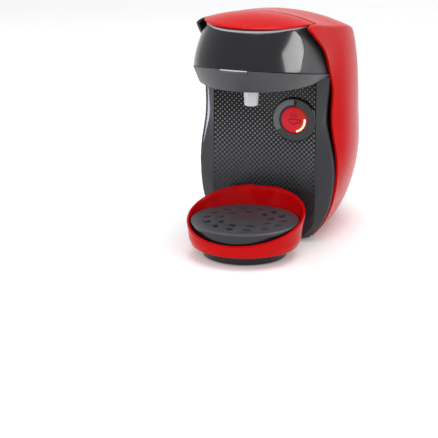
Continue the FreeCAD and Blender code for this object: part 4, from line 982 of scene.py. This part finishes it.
def stand_bowl():
    """The tilted bowl: its wall is one curve of radius against height, cut off by the
    rim's sloping plane. At every turn the rim's height is found by letting it settle."""
    turn = np.linspace(0, 2 * math.pi, 180, endpoint=False)
    toward = -np.cos(turn)
    slope = (RIM_BACK_Z - RIM_FRONT_Z) / (2 * STAND_R)
    wall_r, wall_z = np.array(BOWL_WALL).T
    fine_z = np.linspace(wall_z[0], wall_z[-1], 400)
    fine_r = spline(wall_z, wall_r, fine_z)
    flat_back = STAND_R / np.clip(toward, 0.3, 1.0)

    def radius_at(z, thick):
        return np.minimum(np.interp(z, fine_z, fine_r), flat_back) - thick

    def rim(thick):
        z = np.full(turn.shape, 40.0)
        for _ in range(14):
            z = RIM_FRONT_Z + slope * (STAND_Y + radius_at(z, thick) * toward - FRONT_Y)
        return z

    outer_top, inner_top = rim(0.0), rim(BOWL_T)
    flat, inside = np.zeros_like(turn), STAND_FLOOR_Z + BOWL_T
    rows = [(flat, flat + wall_z[0])]
    for share in np.linspace(0, 1, 26) ** 1.5:
        z = wall_z[0] + (outer_top - RIM_ROLL - wall_z[0]) * share
        rows.append((radius_at(z, 0.0), z))
    for top, thick, up in ((outer_top, 0.35, -0.15), (outer_top, 1.0, 0.08),
                           (inner_top, 2.3, 0.05), (inner_top, 2.85, -0.3)):
        rows.append((radius_at(top, thick), top + up))
    for share in np.linspace(0, 1, 16):
        z = inner_top - RIM_ROLL + (inside + 1.2 - inner_top + RIM_ROLL) * share
        seat = SEAT_R + SEAT_SPREAD * (z - SEAT_Z)
        rows.append((np.maximum(radius_at(z, BOWL_T), seat), z))
    rows += [(flat + BOWL_FLOOR_R, flat + inside), (flat, flat + inside)]
    radius, height = np.moveaxis(np.array(rows), 1, 0)
    points = np.stack([radius * np.sin(turn), STAND_Y + radius * toward, height], -1)
    return grid(points, loop=True)


surface("cup_bowl", [stand_bowl()], ["cup_stand_bowl"], RED)

TIP_Z, SPOUT_R = 159.0, 8.2
spout = [(SPOUT_R - 3.2, TIP_Z + 12), (SPOUT_R - 3.3, TIP_Z + 0.05),
         (SPOUT_R - 0.95, TIP_Z + 0.05), (SPOUT_R - 0.05, CHIN_Z - 6.6), (10.0, CHIN_Z - 6.4),
         (10.3, CHIN_Z - 0.55), (SPOUT_R - 2.6, CHIN_Z - 0.55), (SPOUT_R - 3.2, TIP_Z + 12)]
surface("spout", [turned(soften(spout, 0.7), NOZZLE_Y, 96)], ["drink_nozzle"], NOZZLE_CLEAR)

FOOT_R, FOOT_LOW_Z, FOOT_TOP_Z = 47.0, 1.25, 10.75
foot = [(0, FOOT_LOW_Z), (FOOT_R - 2.1, FOOT_LOW_Z), (FOOT_R - 0.1, FOOT_TOP_Z),
        (0, FOOT_TOP_Z)]
surface("stand_base", [turned(soften(foot, 1.2), STAND_Y)], ["stand_foot"], BLACK_GLOSS)

TONGUE_HALF, TONGUE_ROUND, CORNER_STEPS = 15.9, 2.0, 5
TONGUE_Y, TONGUE_Z = (STAND_Y + 20.0, SHUT_Y - 1.05), (7.7, 10.5)


def tongue():
    """A closed slab with its upright corners rounded, as a loop carried upwards."""
    corners = [(-TONGUE_HALF, TONGUE_Y[0]), (TONGUE_HALF, TONGUE_Y[0]),
               (TONGUE_HALF, TONGUE_Y[1]), (-TONGUE_HALF, TONGUE_Y[1])]
    ring = soften(corners + corners[:2], TONGUE_ROUND, CORNER_STEPS)[1: 4 * CORNER_STEPS + 1]
    middle = ring.mean(0) + 0 * ring
    levels = zip((middle, ring, ring, middle), np.repeat(TONGUE_Z, 2))
    points = [np.concatenate([p, np.full((len(p), 1), z)], 1) for p, z in levels]
    return grid(np.array(points), loop=True)


surface("stand_tongue", [tongue()], [], BLACK_GLOSS, edge=0.5, like="stand_foot")


# %% [markdown]
# ## The water tank
# The clear tank fills the left rear corner. Its outer wall is the body's flank and the
# other three are flat. One row of points round the plan, carried up to just under its
# lid, gives all four, and the bottom row is drawn in to its middle.

# %% Clear tank
TANK_FRONT_Y, TANK_BACK_Y, TANK_FLOOR_Z, TANK_LID_T = SHUT_Y + 3.0, 88.0, 40.02, 4.35
SIDE_COLUMNS, END_COLUMNS = 90, 10
side_y = np.linspace(TANK_FRONT_Y, TANK_BACK_Y, SIDE_COLUMNS)
ends = np.linspace(0, 1, END_COLUMNS + 2)[1:-1, None]


def tank_row(z):
    """Plan of the tank, z being one height for each of its columns."""
    inner = np.stack([np.full(SIDE_COLUMNS, -BAY_X - 1.0), side_y], -1)
    outer_z = z[SIDE_COLUMNS + END_COLUMNS:][:SIDE_COLUMNS]
    outer = np.stack([-flank(side_y[::-1], outer_z), side_y[::-1]], -1)
    back = inner[-1] + (outer[0] - inner[-1]) * ends
    front = outer[-1] + (inner[0] - outer[-1]) * ends
    return np.concatenate([inner, back, outer, front])


level = np.full(2 * (SIDE_COLUMNS + END_COLUMNS), 200.0)
for _ in range(10):
    plan = tank_row(level)
    level = crown(plan[:, 0], plan[:, 1]) - TANK_LID_T
rows = []
for share in np.linspace(0, 1, 70):
    z = TANK_FLOOR_Z + (level - TANK_FLOOR_Z) * share
    rows.append(np.concatenate([tank_row(z), z[:, None]], 1))
bottom = rows[0]
middle = bottom.mean(0)
draw_in = [middle + (bottom - middle) * share for share in (0.0, 0.3, 0.6, 0.85)]
surface("tank_wall", [grid(np.array(draw_in + rows), loop=True)], ["water_tank"], TANK_CLEAR,
        wall=2.4, edge=0.9, sharp=50)

# %% [markdown]
# ## The start button
# The button is a shallow dome with a raised pictogram of a cup and a steeper facet at its
# right. A disc whose rows are radii and whose columns are turns carries both as a height,
# and the relief is also kept as an attribute, which the paint follows.

# %% Domed button with a raised cup
BUTTON_R, BUTTON_FACE_Y, SKIRT_Y = 14.55, PANEL_Y - 4.25, PANEL_Y + 1.0
FACE_R, FACE_ROLL, DOME, FACET, RELIEF = 13.2, 1.35, 0.9, 0.35, 0.30
CUP_R, CUP_BRIM_Z, LINE_HALF = 5.2, 1.0, 0.35


def cup_relief(x, z):
    """1 on the raised lines of a cup: the distance to a bowl, a brim, a handle and two
    steam lines, compared with half a line's width."""
    far = 9.0
    bowl = np.where(z < CUP_BRIM_Z, np.abs(np.hypot(x, z - CUP_BRIM_Z) - CUP_R), far)
    brim = np.where(np.abs(x) < CUP_R + 0.2, np.abs(z - CUP_BRIM_Z), far)
    handle = np.where(x > 4.6, np.abs(np.hypot(x - 5.6, z + 1.0) - 2.0), far)
    wave = 0.8 * np.sin(z * 1.5)
    lines = np.minimum(np.abs(x + 2.0 - wave), np.abs(x - 2.0 - wave))
    steam = np.where((z > 2.8) & (z < 7.4), lines, far)
    nearest = np.minimum.reduce([bowl, brim, handle, steam])
    return 1 - soft_step(nearest, LINE_HALF, LINE_HALF + 0.4)


quarter = np.sin(np.linspace(0, math.pi / 2, 8))[1:]
disc_r = np.concatenate([np.linspace(0, FACE_R, 90), FACE_R + FACE_ROLL * quarter])[:, None]
disc_turn = np.linspace(0, 2 * math.pi, 240, endpoint=False)
disc_x, disc_z = disc_r * np.cos(disc_turn), disc_r * np.sin(disc_turn)
dome = DOME * (disc_r / BUTTON_R) ** 2 + FACET * np.clip((disc_x - 5.0) / 9.0, 0, 1) ** 1.5
rolled = np.clip((disc_r - FACE_R) / (FACE_ROLL + 0.01), 0, 1)
edge_drop = 1.1 * (1 - np.sqrt(1 - rolled ** 2))
disc_y = BUTTON_FACE_Y + dome + edge_drop - RELIEF * cup_relief(disc_x, disc_z)
face = np.stack([BUTTON_X + disc_x, disc_y, BUTTON_Z + disc_z], -1)
skirt = face[-1:] * (1, 0, 1) + np.array([0, SKIRT_Y, 0])
hub = skirt * 0 + np.array([BUTTON_X, SKIRT_Y, BUTTON_Z])
button = surface("start_cap", [grid(np.concatenate([face, skirt, hub]), loop=True)],
                 ["start_button"], BUTTON_RED)
mark = button.data.attributes.new("relief", "FLOAT", "POINT")
places = read(button.data.vertices, "co") - (BUTTON_X, 0, BUTTON_Z)
mark.data.foreach_set("value", cup_relief(places[:, 0], places[:, 2]).astype(np.float32))

# %% [markdown]
# ## Pieces that keep their CAD shape
# Frames, chin, grate and tray are flat or simply curved, and their CAD solids already have
# the right detail. All they need is welded corners and a small bevel to catch the light.

# %% Visible mouldings
VISIBLE = [
    (ANTHRACITE, 0.45, "front_frame rear_cover tank_lid"), (PANEL_PRINT, 0.30, "front_panel"),
    # The left cheek's lighter grey is a painted highlight.
    (ANTHRACITE, 0.35, "right_cheek tank_bay"), (LEFT_CHEEK_HIGHLIGHT, 0.35, "left_cheek"),
    # The lid grip's bright rim is a painted highlight.
    (CHIN_GREY, 0.35, "chin_shell"), (GRIP_WITH_HIGHLIGHT, 0.20, "lid_grip"),
    (BLACK_GLOSS, 0.0, "button_bezel"), (CRESCENT_GREY, 0.15, "status_crescent"),
    (GLOW, 0.10, "light_arc"), (GRATE_GREY, 0.25, "drip_grate"),
    (TRAY_BLACK, 0.30, "drip_tray"), (NYLON, 0.30, "pod_press"),
    (RUBBER, 0.35, "rubber_feet"), (RUBBER, 0.30, "stand_pads inlet_bush"),
    (PLAIN_BLACK, 0.30, "base_plate lid_frame brew_unit pod_holder chassis"),
]
for material, edge, nodes in VISIBLE:
    for node in nodes.split():
        welded(node, material, edge)

# %% [markdown]
# ## The works inside
# The pump, heater and hoses are seen only with the covers off. Their CAD meshes stay as
# they are and take a material.

# %% Inner pieces
INNER = {
    NYLON: "piercing_unit pump_cradle flow_meter board_standoffs inlet_socket valve_body "
           "valve_cage valve_plunger float_guide level_float",
    SILICONE: "suction_hose pump_hose pressure_hose hot_water_hose",
    RUBBER: "pump_mounts valve_seal",
    STEEL: "lid_hinge_pin press_spring button_spring valve_spring base_screws heater_bracket",
    ZINC: "pump thermal_cutout",
    CAST_METAL: "water_heater",
    BOARD: "control_board button_board",
    WINDOW_CLEAR: "reader_window",
}
for material, nodes in INNER.items():
    for node in nodes.split():
        CAD[node].data.materials.clear()
        CAD[node].data.materials.append(material)
print("inner pieces:", sum(len(nodes.split()) for nodes in INNER.values()))

# %% [markdown]
# ## Floor, light and camera
# One broad soft panel hangs overhead, one at the right is only there to be mirrored in the
# gloss, three weaker ones lift the shadows without being mirrored, and so does a pale
# sweep of floor. The camera stands a long way off with a long lens, so that upright lines
# stay nearly upright.

# %% Pale floor sweep
SWEEP, FLAT_TO, STEEPER = 3.0, 1.2, 0.6      # metres
run = np.linspace(-SWEEP, SWEEP, 61)
floor_x, floor_y = np.meshgrid(run, run)
rise = np.clip(floor_y - FLAT_TO, 0, None) ** 2 * STEEPER
points, quads = grid(np.stack([floor_x, floor_y, rise], -1))
floor_mesh = bpy.data.meshes.new("floor")
floor_mesh.from_pydata(points, [], quads.tolist())
floor_mesh.polygons.foreach_set("use_smooth", np.ones(len(quads), bool))
floor = put_in_scene("floor", floor_mesh)
paper = Finish("pale_paper")
mottle = paper.noise(60.0, 2.0)
paper.give(Base_Color=paper.colour((0.90, 0.90, 0.91), (0.94, 0.94, 0.94), mottle),
           Roughness=0.9, Emission_Color=(1.0, 1.0, 1.0, 1.0), Emission_Strength=0.12)
floor_mesh.materials.append(paper.material)
floor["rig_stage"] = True


# %% Soft studio light
def soft_panel(name, place, aim, size, power, mirrored=True, scattered=True):
    """A rectangular area light at a place, turned towards its aim."""
    light = bpy.data.lights.new(name, "AREA")
    light.shape = "RECTANGLE"
    light.size, light.size_y = size
    light.energy = power
    lamp = put_in_scene(name, light)
    lamp.visible_glossy = mirrored
    lamp.visible_diffuse = scattered
    lamp.location = place
    lamp.rotation_euler = (Vector(aim) - Vector(place)).to_track_quat("-Z", "Y").to_euler()


soft_panel("overhead_panel", (0.1, 0.15, 1.5), (0, 0, 0.1), (1.3, 1.1), 17.0)
soft_panel("right_panel", (1.32, 0.33, 0.52), (0, 0, 0.2), (0.92, 0.72), 14.0,
           scattered=False)
for name, place, aim_z, size, power in (
        ("side_fill", (1.2, -0.8, 0.7), 0.14, (0.8, 0.8), 3.5),
        ("left_panel", (-1.3, -0.5, 0.55), 0.12, (0.7, 1.1), 6.0),
        ("front_panel_light", (0.3, -2.2, 1.3), 0.12, (1.4, 0.9), 13.0)):
    soft_panel(name, place, (0, 0, aim_z), size, power, mirrored=False)
world = bpy.data.worlds.new("studio")
world.use_nodes = True
background = world.node_tree.nodes["Background"].inputs
background["Color"].default_value = (0.93, 0.94, 0.95, 1.0)
background["Strength"].default_value = 0.55
bpy.context.scene.world = world

# %% Camera
LENS_MM, SENSOR_MM, AWAY = 175.6, 36.0, 2.278       # the distance in metres
TURN, TILT, ROLL = 18.34, 17.33, 0.43                # degrees
AIM_LEFT, AIM_UP = 0.01222, 0.01624                  # how far the gaze leaves the middle
turn, tilt, roll = np.radians((TURN, TILT, ROLL))
aside = Vector((math.cos(turn), math.sin(turn), 0.0))
back = Vector((math.sin(turn) * math.cos(tilt), -math.cos(turn) * math.cos(tilt),
               math.sin(tilt)))
upward = back.cross(aside)
looked_at = Vector((0.0, STAND_Y / 1000, 0.0))
gaze = (-back - AIM_LEFT * aside + AIM_UP * upward).normalized()
side = gaze.cross(upward).normalized()
top = side.cross(gaze)
turned_side = side * math.cos(roll) + top * math.sin(roll)
turned_top = top * math.cos(roll) - side * math.sin(roll)
lens = bpy.data.cameras.new("camera")
lens.lens, lens.sensor_width = LENS_MM, SENSOR_MM
camera = put_in_scene("camera", lens)
placing = Matrix((turned_side, turned_top, -gaze)).transposed().to_4x4()
placing.translation = looked_at + back * AWAY
camera.matrix_world = placing
bpy.context.scene.view_settings.view_transform = "Standard"
bpy.context.scene.camera = camera
print("camera", [round(v, 3) for v in placing.translation])

# %% Sizes before and after
boxes = {"cad": [list(v) for v in CAD_BOX], "visual": [list(v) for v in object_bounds()]}
off = [round((a - b) * 1000, 2) for cad, mine in zip(boxes["cad"], boxes["visual"])
       for a, b in zip(mine, cad)]
print("visual box less CAD box, mm:", off)
